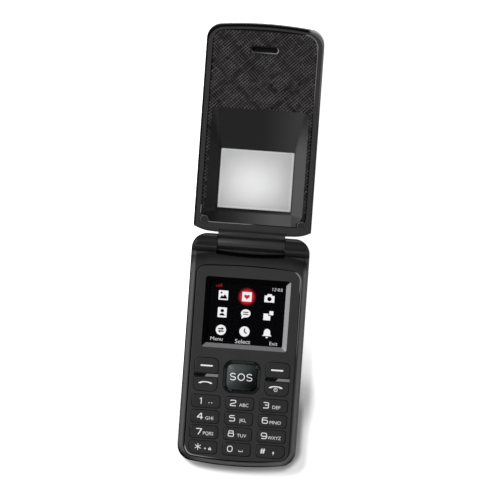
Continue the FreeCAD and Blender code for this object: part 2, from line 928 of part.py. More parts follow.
def make_panel():
    """Front panel: a plate with holes for the keys, the key bars, the ring and the display."""
    panel = plate(panel_half, below(panel_bottom), below(panel_top), panel_bottom_crown, panel_top_crown,
                  panel_corner_r, panel_corner_r, panel_z, body_depth)
    panel = panel.makeFillet(panel_edge_r, level_edges(panel, body_depth))
    holes = [key_block(key, key_gap, 0, BIG) for key in KEYS[:-1]]
    holes.append(key_block(KEYS[-1], ring_width, 0, BIG))
    holes.extend(bar_block(side, seat_gap, 0, BIG) for side in (-1, 1))
    holes.append(display_tool())
    return panel.cut(holes)


def display_tool():
    """Hole for the display, with sloping sides."""
    y = below((display_top + display_bottom) / 2)
    width = 2 * display_half
    height = display_bottom - display_top
    lip_z = panel_z + display_lip
    inner = pad(0, y, width - 2 * display_bevel, height - 2 * display_bevel, [display_inner_corner_r] * 4,
                0, BIG)
    wires = [
        level_pad(0, y, width - 2 * display_bevel, height - 2 * display_bevel, display_corner_r, lip_z),
        level_pad(0, y, width, height, display_corner_r, body_depth + sliver),
    ]
    slope = Part.makeLoft(wires, True, True)
    return fuse(inner, slope)


def bar_block(side, grow, z0, z1):
    y = below((soft_key_bottom + call_key_top) / 2)
    return pad(side * side_key_x, y, bar_width + 2 * grow, bar_height + 2 * grow, [bar_corner_r] * 4,
               z0, z1)


def make_bars():
    """Glossy bar between each soft key and the call or end key."""
    bars = []
    for side in (-1, 1):
        bar = bar_block(side, 0, panel_z, body_depth + bar_proud)
        bars.append(bar.makeFillet(bar_edge_r, level_edges(bar, body_depth + bar_proud)))
    return Part.makeCompound(bars)


def make_ring():
    """Glossy ring around the large key, its face sloping down to the key."""
    key = KEYS[-1]
    ring = key_block(key, ring_width - ring_gap, panel_z, body_depth)
    hole = key_block(key, key_gap, 0, BIG)
    y = below(sos_middle)
    inner = level_pad(0, y, sos_width + 2 * key_gap, sos_height + 2 * key_gap, sos_corner_r + key_gap,
                      body_depth - ring_drop)
    rim = ring_width - ring_gap - ring_flat
    outer = level_pad(0, y, sos_width + 2 * rim, sos_height + 2 * rim, sos_corner_r + rim,
                      body_depth + sliver)
    slope = Part.makeLoft([inner, outer], True, True)
    return cut(ring, hole, slope)


def make_display_lens():
    y = below((display_top + display_bottom) / 2)
    lens = pad(0, y, 2 * (display_half + lens_lap), display_bottom - display_top + 2 * lens_lap,
               [display_corner_r] * 4, panel_z - seat_gap - lens_thickness, panel_z - seat_gap)
    return lens


def make_lcd():
    y = below((display_top + display_bottom) / 2)
    z1 = panel_z - seat_gap - lens_thickness - lcd_gap
    width = 2 * display_half + lcd_border - display_bevel
    height = display_bottom - display_top + lcd_border - display_bevel
    return pad(0, y, width, height, [lcd_corner_r] * 4, z1 - lcd_depth, z1)


def make_speaker():
    y = below(speaker_at)
    z0 = wall + speaker_gap
    can = disc(speaker_x, y, speaker_r, z0, z0 + speaker_depth)
    cone = Part.makeCone(speaker_r - speaker_rim, speaker_r - speaker_cone_inset, speaker_cone_depth,
                         Vector(speaker_x, y, z0 - sliver), Vector(0, 0, 1))
    return can.cut(cone)


def make_camera():
    z0 = camera_low_z
    y = below(camera_at)
    half = camera_size / 2
    z1 = z0 + camera_depth
    block = box(camera_x - half, camera_x + half, y - half, y + half, wall + slip_gap, z1)
    barrel = disc(camera_x, y, camera_window_r - camera_barrel_inset, z0 - camera_barrel_proud, z1)
    return fuse(block, barrel)


def make_camera_window():
    z0 = camera_window_sink
    return disc(camera_x, below(camera_at), camera_window_r, z0, z0 + camera_window_thickness)


def make_motor():
    z0 = wall + slip_gap
    return disc(motor_x, below(motor_at), motor_r, z0, z0 + motor_depth)


def make_jack():
    """Headphone socket in the left side."""
    y = below(jack_at)
    mouth = -body_half + jack_inset
    x0 = -body_half + 2 * wall + slip_gap
    half = jack_width / 2
    block = box(x0, jack_end_x, y - half, y + half, wall + slip_gap, jack_floor + jack_height)
    z = jack_floor + jack_height / 2
    nose = rod(mouth, x0 + jack_nose_root, y, z, jack_bore_r + jack_nose_wall)
    bore = rod(mouth - overshoot, mouth + jack_bore_length, y, z, jack_bore_r)
    return cut(fuse(block, nose), bore)


def make_port():
    """Charging socket at the lower end: a metal shell round a tongue."""
    z0 = port_low_z()
    y0 = y_low + port_inset
    shell = box(-port_width / 2, port_width / 2, y0, y_low + port_depth, z0, z0 + port_height)
    shell = shell.cut(box(-port_width / 2 + port_shell, port_width / 2 - port_shell, y0 - overshoot,
                          y_low + port_depth - port_shell, z0 + port_shell, z0 + port_height - port_shell))
    half = port_width / 2 - port_tongue_side
    middle = z0 + port_height / 2
    tongue = box(-half, half, y0 + port_tongue_inset, y_low + port_depth,
                 middle - port_tongue / 2, middle + port_tongue / 2)
    return fuse(shell, tongue)


def make_antenna():
    return box(antenna_x, antenna_x + antenna_width, end_piece_y, end_piece_y + antenna_depth,
               split_height - antenna_height, split_height)


def make_microphone():
    y = end_piece_y + microphone_r
    return disc(microphone_x, y, microphone_r, split_height - microphone_height, split_height)


def make_housing_screws():
    """Screws from the back through the rear housing into the front housing's bosses."""
    screws = []
    head_z = screw_head_sink
    tip = floor_low_z - 2 * screw_hole_end
    for x, y in screw_places():
        head = disc(x, y, screw_head_r, head_z, head_z + screw_head)
        shank = disc(x, y, screw_r - seat_gap, head_z, tip)
        drive = cross_drive(x, y, screw_drive_half, screw_drive_slot, 0, head_z + screw_drive_depth)
        screws.append(cut(fuse(head, shank), drive))
    return Part.makeCompound(screws)


def make_hinge_module():
    """Sprung cam unit that sits in the left knuckle and holds the lid open or shut."""
    body = rod(-slot_half - module_length, -slot_half, axis_y, axis_z, module_r)
    bore = rod(-slot_half - shaft_in_module - running_gap, -slot_half + overshoot, axis_y, axis_z,
               shaft_r + running_gap)
    return body.cut(bore)


def lid_outline(z0, z1):
    """Whole outline of the lid, extruded. Its hinge edge curves towards the body."""
    y_far = lid_length
    left = -lid_half
    right = lid_half
    side = lid_hinge_side
    near = lid_hinge_edge + lid_hinge_rise
    bend_x = (lid_half + lid_hinge_straight) / 2
    bend_y = near + (side - near) * lid_hinge_bend
    points = {
        "near_left": Vector(left, side, z0),
        "bend_left": Vector(-bend_x, bend_y, z0),
        "straight_left": Vector(-lid_hinge_straight, near, z0),
        "middle": Vector(0, lid_hinge_edge, z0),
        "straight_right": Vector(lid_hinge_straight, near, z0),
        "bend_right": Vector(bend_x, bend_y, z0),
        "near_right": Vector(right, side, z0),
        "far_right": Vector(right, y_far - lid_end_crown, z0),
        "far": Vector(0, y_far, z0),
        "far_left": Vector(left, y_far - lid_end_crown, z0),
    }
    p = points
    edges = [
        Part.Arc(p["near_left"], p["bend_left"], p["straight_left"]).toShape(),
        Part.Arc(p["straight_left"], p["middle"], p["straight_right"]).toShape(),
        Part.Arc(p["straight_right"], p["bend_right"], p["near_right"]).toShape(),
        Part.makeLine(p["near_right"], p["far_right"]),
        Part.Arc(p["far_right"], p["far"], p["far_left"]).toShape(),
        Part.makeLine(p["far_left"], p["near_left"]),
    ]
    solid = Part.Face(Part.Wire(edges)).extrude(Vector(0, 0, z1 - z0))
    corners = [e for e in upright_edges(solid) if e.CenterOfMass.y > y_far / 2]
    solid = solid.makeFillet(lid_corner_r, corners)
    corners = [e for e in upright_edges(solid)
               if e.CenterOfMass.y < y_far / 2 and abs(e.CenterOfMass.x) > lid_half - hair]
    return solid.makeFillet(lid_hinge_corner_r, corners)


def lid_blank():
    blank = lid_outline(lid_bottom, lid_top)
    blank = blank.makeFillet(lid_back_edge_r, level_edges(blank, lid_bottom))
    return blank.makeFillet(lid_inner_edge_r, level_edges(blank, lid_top))


def make_barrel():
    """Barrel and neck that join the lid to the hinge axis."""
    barrel = crowned_bar(barrel_half, barrel_r_middle, barrel_r_end)
    skin = barrel.cut(crowned_bar(barrel_half + overshoot, barrel_r_middle - barrel_groove_depth,
                                  barrel_r_end - barrel_groove_depth))
    start = math.radians(90 + barrel_groove_from)
    end = math.radians(90 + barrel_groove_to)
    reach = 3 * barrel_r_middle
    wedge_points = [
        Vector(-BIG, 0, 0),
        Vector(-BIG, reach * math.cos(start), reach * math.sin(start)),
        Vector(-BIG, reach * math.cos(end), reach * math.sin(end)),
        Vector(-BIG, 0, 0),
    ]
    wedge = Part.Face(Part.makePolygon(wedge_points)).extrude(Vector(2 * BIG, 0, 0))
    wedge.rotate(Vector(0, 0, 0), Vector(1, 0, 0), -tilt)
    barrel = barrel.cut(skin.common(wedge))
    neck_end = lid_hinge_side + neck_into_lid
    neck = box(-barrel_half, barrel_half, 0, neck_end, lid_top - neck_thickness, lid_top)
    whole = fuse(barrel, neck)
    hollow_edges = []
    for edge in whole.Edges:
        size = edge.BoundBox
        level = abs(size.ZMin - lid_top) < near_zero and abs(size.ZMax - lid_top) < near_zero
        if level and size.XLength > barrel_half and size.YMax < barrel_r_middle + slip_gap:
            hollow_edges.append(edge)
    return whole.makeFillet(neck_fillet_r, hollow_edges)


def funnel_wires(grow, z0, z1):
    """Outlines of the funnel at the window and at its mouth."""
    low = level_pad(0, (window_near + window_far) / 2, 2 * (window_half + grow),
                    window_far - window_near + 2 * grow, window_corner_r + grow, z0)
    high = level_face(funnel_pad(grow, z1, z1 + overshoot), z1)
    return [low, high]


def funnel_pad(grow, z0, z1):
    """Block with the outline of the funnel's mouth, grown all round."""
    near = funnel_near_corner_r + grow
    far = funnel_far_corner_r + grow
    width = 2 * (funnel_half + grow)
    height = funnel_far - funnel_near + 2 * grow
    return pad(0, (funnel_near + funnel_far) / 2, width, height, [near, near, far, far], z0, z1)


def level_pad(x, y, width, height, radius, z):
    return level_face(pad(x, y, width, height, [radius] * 4, z, z + overshoot), z)


def level_face(block, z):
    """Outer wire of a block's face that lies at height z."""
    for face in block.Faces:
        if abs(face.BoundBox.ZMin - z) < near_zero and abs(face.BoundBox.ZMax - z) < near_zero:
            return face.OuterWire


def insert_plate(grow, z0, z1):
    """Outline of the textured insert, clear of the two screw caps."""
    body = plate(insert_half + grow, insert_near - grow, insert_far + grow, 0, insert_crown,
                 insert_near_corner_r, insert_corner_r + grow, z0, z1)
    clear = cap_r + insert_clear_of_cap - grow
    notches = [disc(side * cap_x, cap_at, clear, z0 - overshoot, z1 + overshoot) for side in (-1, 1)]
    return body.cut(notches)


def pane_top():
    return lid_bottom + pane_sink + pane_thickness + seat_gap


def shelf_top():
    return pane_top() + pane_shelf


def make_lid_shells():
    """Inner shell with the rim, neck and barrel, and outer shell with the window's seat."""
    blank = lid_blank()
    barrel = make_barrel()
    insert_low = lid_top - insert_sink - insert_thickness
    floor_low = insert_low - seat_gap - lid_floor
    above = box(-BIG, BIG, -BIG, BIG, lid_split_z, BIG)
    under = box(-BIG, BIG, -BIG, BIG, -BIG, lid_split_z)
    hollow = plate(lid_half - lid_wall, lid_hinge_side + lid_wall, lid_length - lid_wall, 0, lid_end_crown,
                   lid_inside_corner_r, lid_corner_r - lid_wall, lid_bottom + lid_wall, floor_low)
    inner = blank.common(above)
    inner = cut(inner, hollow, insert_plate(insert_gap, insert_low - seat_gap, BIG))
    inner = fuse(inner, barrel)
    inner = cut(inner, funnel_hole(funnel_gap), *inner_shell_openings(insert_low, floor_low))

    outer = blank.common(under)
    outer = outer.cut(hollow)
    neck_half = barrel_half + slip_gap
    neck_room = box(-neck_half, neck_half, -BIG, lid_hinge_side + neck_into_lid + slip_gap,
                    lid_top - neck_thickness - slip_gap, BIG)
    boss_low = lid_bottom + lid_wall - lid_boss_root
    bosses = [disc(side * cap_x, cap_at, lid_boss_r, boss_low, floor_low - slip_gap)
              for side in (-1, 1)]
    outer = fuse(outer.cut(neck_room), *bosses)
    outer = outer.cut([disc(side * cap_x, cap_at, lid_screw_r, lid_bottom + lid_wall + lid_boss_root, BIG)
                       for side in (-1, 1)])
    y = (window_near + window_far) / 2
    width = 2 * window_half
    height = window_far - window_near
    sight = pad(0, y, width, height, [window_corner_r] * 4, -BIG, BIG)
    seat = pad(0, y, width + 2 * (pane_lap + pane_gap), height + 2 * (pane_lap + pane_gap),
               [window_corner_r + pane_lap] * 4, -BIG, pane_top())
    grow = pane_lap + pane_seat_wall
    pad_round = pad(0, y, width + 2 * grow, height + 2 * grow, [window_corner_r + grow] * 4,
                    lid_bottom + pane_frame_inset, shelf_top())
    outer = cut(fuse(outer, pad_round), sight, seat)
    return inner, outer


def funnel_hole(gap):
    """Hole in the lid's inner shell through which the funnel reaches down to the window."""
    mouth_low = lid_top - insert_sink - insert_thickness
    loft = Part.makeLoft(funnel_wires(funnel_wall + gap, shelf_top(), mouth_low), True, True)
    return fuse(loft, funnel_pad(funnel_wall + gap, mouth_low - sliver, BIG))


def funnel_flange(grow):
    """Low flange of the funnel towards the hinge, between the two screw caps."""
    top = lid_top - insert_sink
    half = cap_x - cap_r - insert_clear_of_cap
    return pad(0, (insert_near + funnel_near) / 2, 2 * half + 2 * grow, funnel_near - insert_near + 2 * grow,
               [flange_corner_r] * 4, top - insert_thickness - grow, top)


def make_funnel():
    """Smooth moulding that funnels the view from the lid's inner face down to the window."""
    top = lid_top - insert_sink
    low = shelf_top() + seat_gap
    mouth_low = top - insert_thickness
    outer = Part.makeLoft(funnel_wires(funnel_wall, low, mouth_low), True, True)
    rim = funnel_pad(funnel_lip, mouth_low - funnel_rim_root, top)
    inner = Part.makeLoft(funnel_wires(0, low - sliver, top + sliver), True, True)
    flange = funnel_flange(0).cut(funnel_pad(0, -BIG, BIG))
    caps = [disc(side * cap_x, cap_at, cap_r + funnel_clear_of_cap, -BIG, BIG) for side in (-1, 1)]
    return cut(fuse(outer, rim, flange), inner, *caps)


def inner_shell_openings(insert_low, floor_low):
    """Openings of the lid's inner shell: earpiece, screw caps, screws, hinge parts and flat cable."""
    low = floor_low - overshoot
    tools = [slot_block(0, earpiece_at, earpiece_slot_length, earpiece_slot_width, low, BIG)]
    cap_floor = lid_top + cap_proud - cap_thickness - seat_gap
    for side in (-1, 1):
        tools.append(disc(side * cap_x, cap_at, cap_r + seat_gap, cap_floor, BIG))
        tools.append(disc(side * cap_x, cap_at, lid_screw_r + slip_gap, -BIG, BIG))
        head_low = cap_floor - lid_screw_head - seat_gap
        tools.append(disc(side * cap_x, cap_at, lid_screw_head_r + running_gap, head_low, BIG))
    shaft_end = -barrel_half + shaft_in_barrel + seat_gap
    tools.append(rod(-barrel_half - overshoot, shaft_end, 0, 0, shaft_r + seat_gap))
    tools.append(rod(barrel_half - pivot_in_barrel, barrel_half + overshoot, 0, 0, pivot_r + seat_gap))
    x0 = flex_barrel_x - flex_width / 2 - flex_channel_gap
    x1 = flex_barrel_x + flex_width / 2 + flex_channel_gap
    z = flex_level()
    low = z - flex_channel_gap
    tools.append(rod(x0, barrel_half, 0, 0, pivot_bore_r + flex_bore_gap))
    tools.append(box(x0, x1, -flex_turn_room, lid_hinge_side + flex_neck_reach, low,
                     z + flex_thickness + flex_channel_gap))
    tools.append(box(x0, x1, -flex_turn_room, flex_turn_room, low, flex_bore_gap))
    return tools


def flex_level():
    """Height of the flat cable inside the lid."""
    return lid_top - neck_thickness + flex_neck_floor


def make_insert():
    top = lid_top - insert_sink
    insert = insert_plate(0, top - insert_thickness, top)
    hole = funnel_pad(funnel_lip + seat_gap, -BIG, BIG)
    strip = box(-funnel_half, funnel_half, 0, (funnel_near + funnel_far) / 2, -BIG, BIG)
    slot = slot_block(0, earpiece_at, earpiece_slot_length, earpiece_slot_width, -BIG, BIG)
    wires = []
    for grow, z in ((0, top - earpiece_bevel), (earpiece_bevel, top + sliver)):
        block = slot_block(0, earpiece_at, earpiece_slot_length + 2 * grow, earpiece_slot_width + 2 * grow,
                           z, z + overshoot)
        wires.append(level_face(block, z))
    slope = Part.makeLoft(wires, True, True)
    return cut(insert, hole, strip, slot, slope)


def make_mesh():
    insert_low = lid_top - insert_sink - insert_thickness
    floor_low = insert_low - seat_gap - lid_floor
    return pad(0, earpiece_at, earpiece_slot_length + 2 * mesh_margin, earpiece_slot_width + 2 * mesh_margin,
               [mesh_corner_r] * 4, floor_low - seat_gap - mesh_thickness, floor_low - seat_gap)


def receiver_low():
    insert_low = lid_top - insert_sink - insert_thickness
    return insert_low - seat_gap - lid_floor - 2 * seat_gap - mesh_thickness - receiver_depth


def make_receiver():
    low = receiver_low()
    return pad(0, earpiece_at, receiver_length, receiver_width, [receiver_corner_r] * 4, low,
               low + receiver_depth)


def make_pane():
    y = (window_near + window_far) / 2
    z0 = lid_bottom + pane_sink
    pane = pad(0, y, 2 * (window_half + pane_lap), window_far - window_near + 2 * pane_lap,
               [window_corner_r + pane_lap - pane_gap] * 4, z0, z0 + pane_thickness)
    return pane.makeFillet(pane_edge_r, level_edges(pane, z0))


def make_caps():
    top = lid_top + cap_proud
    caps = []
    for side in (-1, 1):
        cap = disc(side * cap_x, cap_at, cap_r, top - cap_thickness, top)
        caps.append(cap.makeFillet(cap_edge_r, level_edges(cap, top)))
    return Part.makeCompound(caps)


def make_lid_screws():
    cap_floor = lid_top + cap_proud - cap_thickness - seat_gap
    screws = []
    for side in (-1, 1):
        x = side * cap_x
        head = disc(x, cap_at, lid_screw_head_r, cap_floor - lid_screw_head, cap_floor - hair)
        tip = lid_bottom + lid_wall + 2 * lid_boss_root
        shank = disc(x, cap_at, lid_screw_r - seat_gap, tip, cap_floor - hair)
        drive = cross_drive(x, cap_at, lid_drive_half, lid_drive_slot, cap_floor - lid_drive_depth, BIG)
        screws.append(cut(fuse(head, shank), drive))
    return Part.makeCompound(screws)


def make_magnet():
    z0 = lid_bottom + lid_wall + running_gap
    return disc(magnet_x, magnet_at, magnet_r, z0, z0 + magnet_thickness)


def make_shaft():
    """Output shaft of the hinge module, held in the barrel."""
    x0 = -slot_half - shaft_in_module
    return rod(x0, -barrel_half + shaft_in_barrel, 0, 0, shaft_r)


def make_pivot():
    """Hollow pivot on the other side, through which the flat cable passes."""
    x0 = barrel_half - pivot_in_barrel + seat_gap
    x1 = slot_half + pivot_in_knuckle
    return rod(x0, x1, 0, 0, pivot_r).cut(rod(x0 - overshoot, x1 + overshoot, 0, 0, pivot_bore_r))


def make_lid_flex():
    """Flat cable in the lid: beside the window, across to the neck and out along the hinge axis."""
    floor = lid_bottom + lid_wall + seat_gap
    floor_top = floor + flex_thickness
    z = flex_level()
    top = z + flex_thickness
    x0 = flex_barrel_x - flex_width / 2
    x1 = flex_barrel_x + flex_width / 2
    side_x0 = window_half + pane_lap + pane_seat_wall + flex_side_gap
    side_x1 = side_x0 + flex_width
    bend = window_near - pane_lap - pane_seat_wall - flex_side_gap
    climb = lid_hinge_side + lid_wall + flex_climb_at
    run = box(side_x0, side_x1, bend - flex_thickness, earpiece_at, floor, floor_top)
    across = box(x0, side_x0 + flex_overlap, climb, bend, floor, floor_top)
    rise = box(x0, x1, climb - flex_thickness, climb + hair, floor, top)
    end_x = receiver_length / 2 - flex_width
    to_receiver = box(end_x, side_x1, earpiece_at - flex_width, earpiece_at, floor, floor_top)
    up_to_receiver = box(end_x, end_x + flex_thickness, earpiece_at - flex_width, earpiece_at,
                         floor, receiver_low() - seat_gap)
    through_neck = box(x0, x1, -flex_turn_at, climb, z, top)
    riser = box(x0, x1, -flex_turn_at, -flex_turn_at + flex_thickness, z, flex_thickness / 2)
    along_axis = box(x0, slot_half + pivot_in_knuckle - flex_channel_gap, -flex_width / 2, flex_width / 2,
                     -flex_thickness / 2, flex_thickness / 2)
    return fuse(run, across, rise, to_receiver, up_to_receiver, through_neck, riser, along_axis)


def make_board_flex():
    """Flat cable from the right knuckle to its plug on the main board."""
    x0 = board_flex_x
    x1 = x0 + flex_width
    half = flex_width / 2
    low = board_top_z + flex_thickness
    drop = box(x0, x0 + flex_thickness, axis_y - half, axis_y + half, low, axis_z + half)
    plug_end = below(board_top + flex_plug_at + flex_plug_length)
    back = box(x0, x1, plug_end, axis_y + half, low, low + flex_thickness)
    plug = box(x0, board_half - flex_channel_gap, plug_end, below(board_top + flex_plug_at),
               board_top_z, low + flex_thickness)
    return fuse(drop, back, plug)


def save(name, shape):
    solids = shape.Solids
    volume = sum(solid.Volume for solid in solids)
    print(name, "solids", len(solids), "volume", round(volume, 2), "valid", shape.isValid())
    if len(solids) == 1:
        shape = solids[0]
    shape.exportStep(os.path.join("parts", name + ".step"))


def main():
    os.makedirs("parts", exist_ok=True)
    front, rear = make_housings()
    save("front_housing", front)
    save("rear_housing", rear)
    save("front_panel", make_panel())
    save("display_lens", make_display_lens())
    save("lcd_module", make_lcd())
    save("main_board", make_board())
    save("shield_can", make_shield())
    save("dome_sheet", make_dome_sheet())
    save("key_domes", make_domes())
    save("keypad_mat", make_mat())
    for key in KEYS:
        save(key[0], make_key(key))
    save("key_bars", make_bars())
    save("sos_ring", make_ring())
    save("battery_cover", make_battery_cover())
    save("battery_pack", make_battery())
    save("battery_contacts", make_contacts())
    save("sim_holder", make_sim_holder())
    save("loudspeaker", make_speaker())
    save("camera_module", make_camera())
    save("camera_window", make_camera_window())
    save("vibration_motor", make_motor())
    save("headphone_jack", make_jack())
    save("charging_port", make_port())
    save("antenna_carrier", make_antenna())
    save("microphone", make_microphone())
    save("housing_screws", make_housing_screws())
    save("hinge_module", make_hinge_module())
    save("board_flex", make_board_flex())
    inner, outer = make_lid_shells()
    save("lid_inner_shell", raise_lid(inner))
    save("lid_outer_shell", raise_lid(outer))
    save("window_funnel", raise_lid(make_funnel()))
    save("lid_insert", raise_lid(make_insert()))
    save("window_pane", raise_lid(make_pane()))
    save("earpiece_mesh", raise_lid(make_mesh()))
    save("earpiece_receiver", raise_lid(make_receiver()))
    save("screw_caps", raise_lid(make_caps()))
    save("lid_screws", raise_lid(make_lid_screws()))
    save("lid_magnet", raise_lid(make_magnet()))
    save("hinge_shaft", raise_lid(make_shaft()))
    save("hinge_pivot", raise_lid(make_pivot()))
    save("lid_flex", raise_lid(make_lid_flex()))


main()
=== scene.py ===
import json
import math

import bmesh
import bpy
from mathutils import Matrix, Vector


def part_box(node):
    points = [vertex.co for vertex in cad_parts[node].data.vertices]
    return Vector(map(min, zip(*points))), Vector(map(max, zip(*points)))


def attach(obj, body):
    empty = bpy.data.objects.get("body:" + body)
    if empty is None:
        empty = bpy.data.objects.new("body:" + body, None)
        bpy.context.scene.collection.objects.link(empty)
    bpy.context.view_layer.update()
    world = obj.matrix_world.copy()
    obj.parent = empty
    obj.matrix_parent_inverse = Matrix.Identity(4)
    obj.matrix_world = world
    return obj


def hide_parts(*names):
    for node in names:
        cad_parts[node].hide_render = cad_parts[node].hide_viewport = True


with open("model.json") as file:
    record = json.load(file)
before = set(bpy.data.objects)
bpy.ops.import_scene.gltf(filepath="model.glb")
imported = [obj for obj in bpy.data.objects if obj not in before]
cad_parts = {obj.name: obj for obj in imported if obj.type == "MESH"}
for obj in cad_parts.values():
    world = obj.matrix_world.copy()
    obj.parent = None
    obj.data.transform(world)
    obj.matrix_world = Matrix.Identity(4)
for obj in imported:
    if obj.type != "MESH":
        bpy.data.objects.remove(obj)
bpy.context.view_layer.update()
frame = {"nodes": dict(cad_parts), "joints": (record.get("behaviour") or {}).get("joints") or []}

MM = 0.001

# Where the hinge axis lies, and how far the open lid leans back from level
lid_hinge = next(joint for joint in frame["joints"] if joint["name"] == "lid_hinge")
hinge_y = lid_hinge["pos_m"][1]
hinge_z = lid_hinge["pos_m"][2]
lid_lean = math.radians(180 - lid_hinge["range_deg"][1])
LID = Matrix.Translation((0, hinge_y, hinge_z)) @ Matrix.Rotation(lid_lean, 4, "X")

# Outlines that the finishes follow, in millimetres
body_seam = 6.35
lid_seam = -3.4
seam_depth = 0.08
panel_end_bulge = 1.6
panel_top_bulge = 0.95
panel_corner = 4.0
body_end_bulge = 2.4
body_corner = 6.8
lid_end_bulge = 2.0
lid_hinge_bulge = 2.6
lid_corner = 6.8
insert_end_bulge = 1.5
insert_corner = 4.6
barrel_end_r = 3.45
display_lap = 0.6
display_corner = 1.2
funnel_lip = 1.0
slot_half_length = 5.5
slot_half_width = 0.85
pane_bond = 1.6
pixel_pitch = 0.22

# Dark stripes that cross on the insert, in millimetres: how far apart, and where the first of each way lies
stripe_pitch = 11.2
stripe_across = 4.0
stripe_along = 1.45

# Printed legends
print_height = 0.03 * MM
digit_height = 2.75 * MM
digit_width = 2.7 * MM
digit_stroke = 0.35 * MM
star_reach = 1.45 * MM
star_waist = 0.27 * MM
letter_height = 1.45 * MM
digit_columns = (-17.1 * MM, -2.95 * MM, 11.6 * MM)
letter_columns = (-13.0 * MM, 1.8 * MM, 16.2 * MM)
dash_places = {"soft_key_left": -15.75 * MM, "soft_key_right": 15.4 * MM}
handset_places = {"call_key": -15.8 * MM, "end_key": 15.3 * MM}

# The large key's crown and its three letters
crown_inset = 1.55 * MM
crown_rise = 0.3 * MM
crown_fall = 0.95 * MM
crown_power = 3.2
crown_corner = 5.5
crown_sides = 96
crown_steps = (0.12, 0.25, 0.38, 0.5, 0.6, 0.69, 0.77, 0.84, 0.9, 0.945, 0.975, 0.993, 1.0)
crown_edge = 0.97
crown_edge_drop = 0.25 * MM
sos_width = 2.35 * MM
sos_height = 2.9 * MM
sos_stroke = 0.38 * MM
sos_places = (-3.85 * MM, -0.2 * MM, 3.4 * MM)

# The display's picture
film = 0.02 * MM
icon_half = 2.1 * MM
icon_columns = (-10.6 * MM, -0.2 * MM, 9.75 * MM)
icon_rows = (7.6 * MM, 0.0, -7.75 * MM)
clock_x = 10.95 * MM
clock_y = 11.6 * MM

# Washers at the barrel's ends, and the charging socket's contacts
washer_x = 14.95 * MM
washer_bore = 1.6 * MM
washer_half_thickness = 0.09 * MM
contact_pitch = 0.65 * MM
contact_size = (0.3 * MM, 3.2 * MM, 0.06 * MM)

# Colours as they read on the finished object, in 0 to 255
shell_tone = (52, 52, 53)
lid_tone = (66, 66, 67)
panel_tone = (58, 58, 58)
# Dark of the parting lines, and painted shade in the hinge crease and on the earpiece slot's bevel
joint_and_painted_shade_tone = (6, 6, 6)
# Painted highlight on rims, gap lines, the knuckles' edge, the caps' edge and the barrel's neck
painted_highlight_tone = (112, 112, 113)
# Painted highlight on edge lines: the panel's corners, parts of the gap round the insert and the slot's lit
# bevel
painted_edge_highlight_tone = (150, 150, 152)
insert_tone = (25, 22, 23)
thread_tone = (73, 70, 71)
funnel_tone = (24, 24, 25)
# Painted light on the funnel's right wall and foot
funnel_lit_tone = (84, 84, 85)
# Painted light and painted shade across the large key's crown
crown_painted_lit_tone = (72, 79, 80)
crown_painted_shade_tone = (4, 5, 5)
ring_tone = (26, 28, 28)
# Painted highlights on the right and foot of the slope round the display
bevel_painted_highlight_tone = (148, 148, 149)
bevel_painted_end_highlight_tone = (110, 110, 111)
legend_tone = (236, 236, 234)
small_legend_tone = (224, 224, 222)
# Painted light in the window pane, from its pale middle to its edges
pane_edge_tone = (195, 195, 195)
pane_middle_tone = (245, 245, 245)

# Studio, in metres
floor_reach = 10.0
floor_levels = (-0.05 * MM, -0.25)
world_level = 0.12
lamp_aim = Vector((0, 0.045, 0.01))
side_lamp = ((0.25, 0.12), 0.95)
lamps = (("key_lamp", (-0.55, 0.38, 1.0), (0.35, 0.35), 11.6),
         ("left_lamp", (-0.75, 0.0, 0.45), *side_lamp),
         ("right_lamp", (0.75, 0.1, 0.45), *side_lamp),
         ("near_lamp", (0.0, -0.72, 0.45), *side_lamp))
view_width = 220.4 * MM
camera_place = (-0.339 * MM, 44.70 * MM, 0.8)
camera_roll = math.radians(4.1)


# Node trees

class Wire:
    """An output in a node tree. Sums on it add the Math nodes that work them out."""

    def __init__(self, graph, socket):
        self.graph = graph
        self.socket = socket

    def out(self, name):
        """Another output of the same node."""
        return Wire(self.graph, self.socket.node.outputs[name])

    def split(self):
        """The three parts of a vector."""
        parts = self.graph.node("ShaderNodeSeparateXYZ", {"Vector": self})
        return parts.out("X"), parts.out("Y"), parts.out("Z")

    def __abs__(self):
        return self.graph.math("ABSOLUTE", self)

    def least(self, other):
        return self.graph.math("MINIMUM", self, other)

    def most(self, other):
        return self.graph.math("MAXIMUM", self, other)

    def clamp(self):
        return self.graph.node("ShaderNodeClamp", {"Value": self})

    def step(self, low, high):
        """Smooth change from 0 at low to 1 at high."""
        if low > high:
            return 1.0 - self.step(high, low)
        return self.graph.node("ShaderNodeMapRange", {"Value": self, "From Min": low, "From Max": high},
                               interpolation_type="SMOOTHSTEP")

    def rise(self, low, high):
        """Smooth change from 0 to 1 between two distances in millimetres."""
        return self.step(low * MM, high * MM)

    def band(self, low, high, soft):
        """1 between two distances in millimetres, falling smoothly to 0 on both sides."""
        return self.rise(low - soft, low) * self.rise(high + soft, high)

    def fold(self, length):
        """Distance that runs up and down, each way over a length in millimetres."""
        return self.graph.math("PINGPONG", self, length * MM)

    def wave(self, length):
        """Ramp up and down between 0 and 1, once in each length in millimetres."""
        return self.fold(length / 2) / (length * MM / 2)


def add_operator(name, operation, swapped):
    """Gives Wire one of Python's operators, worked out by a Math node."""
    def method(self, other):
        return self.graph.math(operation, *((other, self) if swapped else (self, other)))
    setattr(Wire, f"__{name}__", method)


for operator, operation in (("add", "ADD"), ("sub", "SUBTRACT"), ("mul", "MULTIPLY"), ("truediv", "DIVIDE")):
    add_operator(operator, operation, False)
    add_operator("r" + operator, operation, True)
add_operator("gt", "GREATER_THAN", False)
add_operator("lt", "LESS_THAN", False)


def distance_from(x, y):
    """Distance from the point that x and y are measured from."""
    return x.graph.math("SQRT", x * x + y * y)


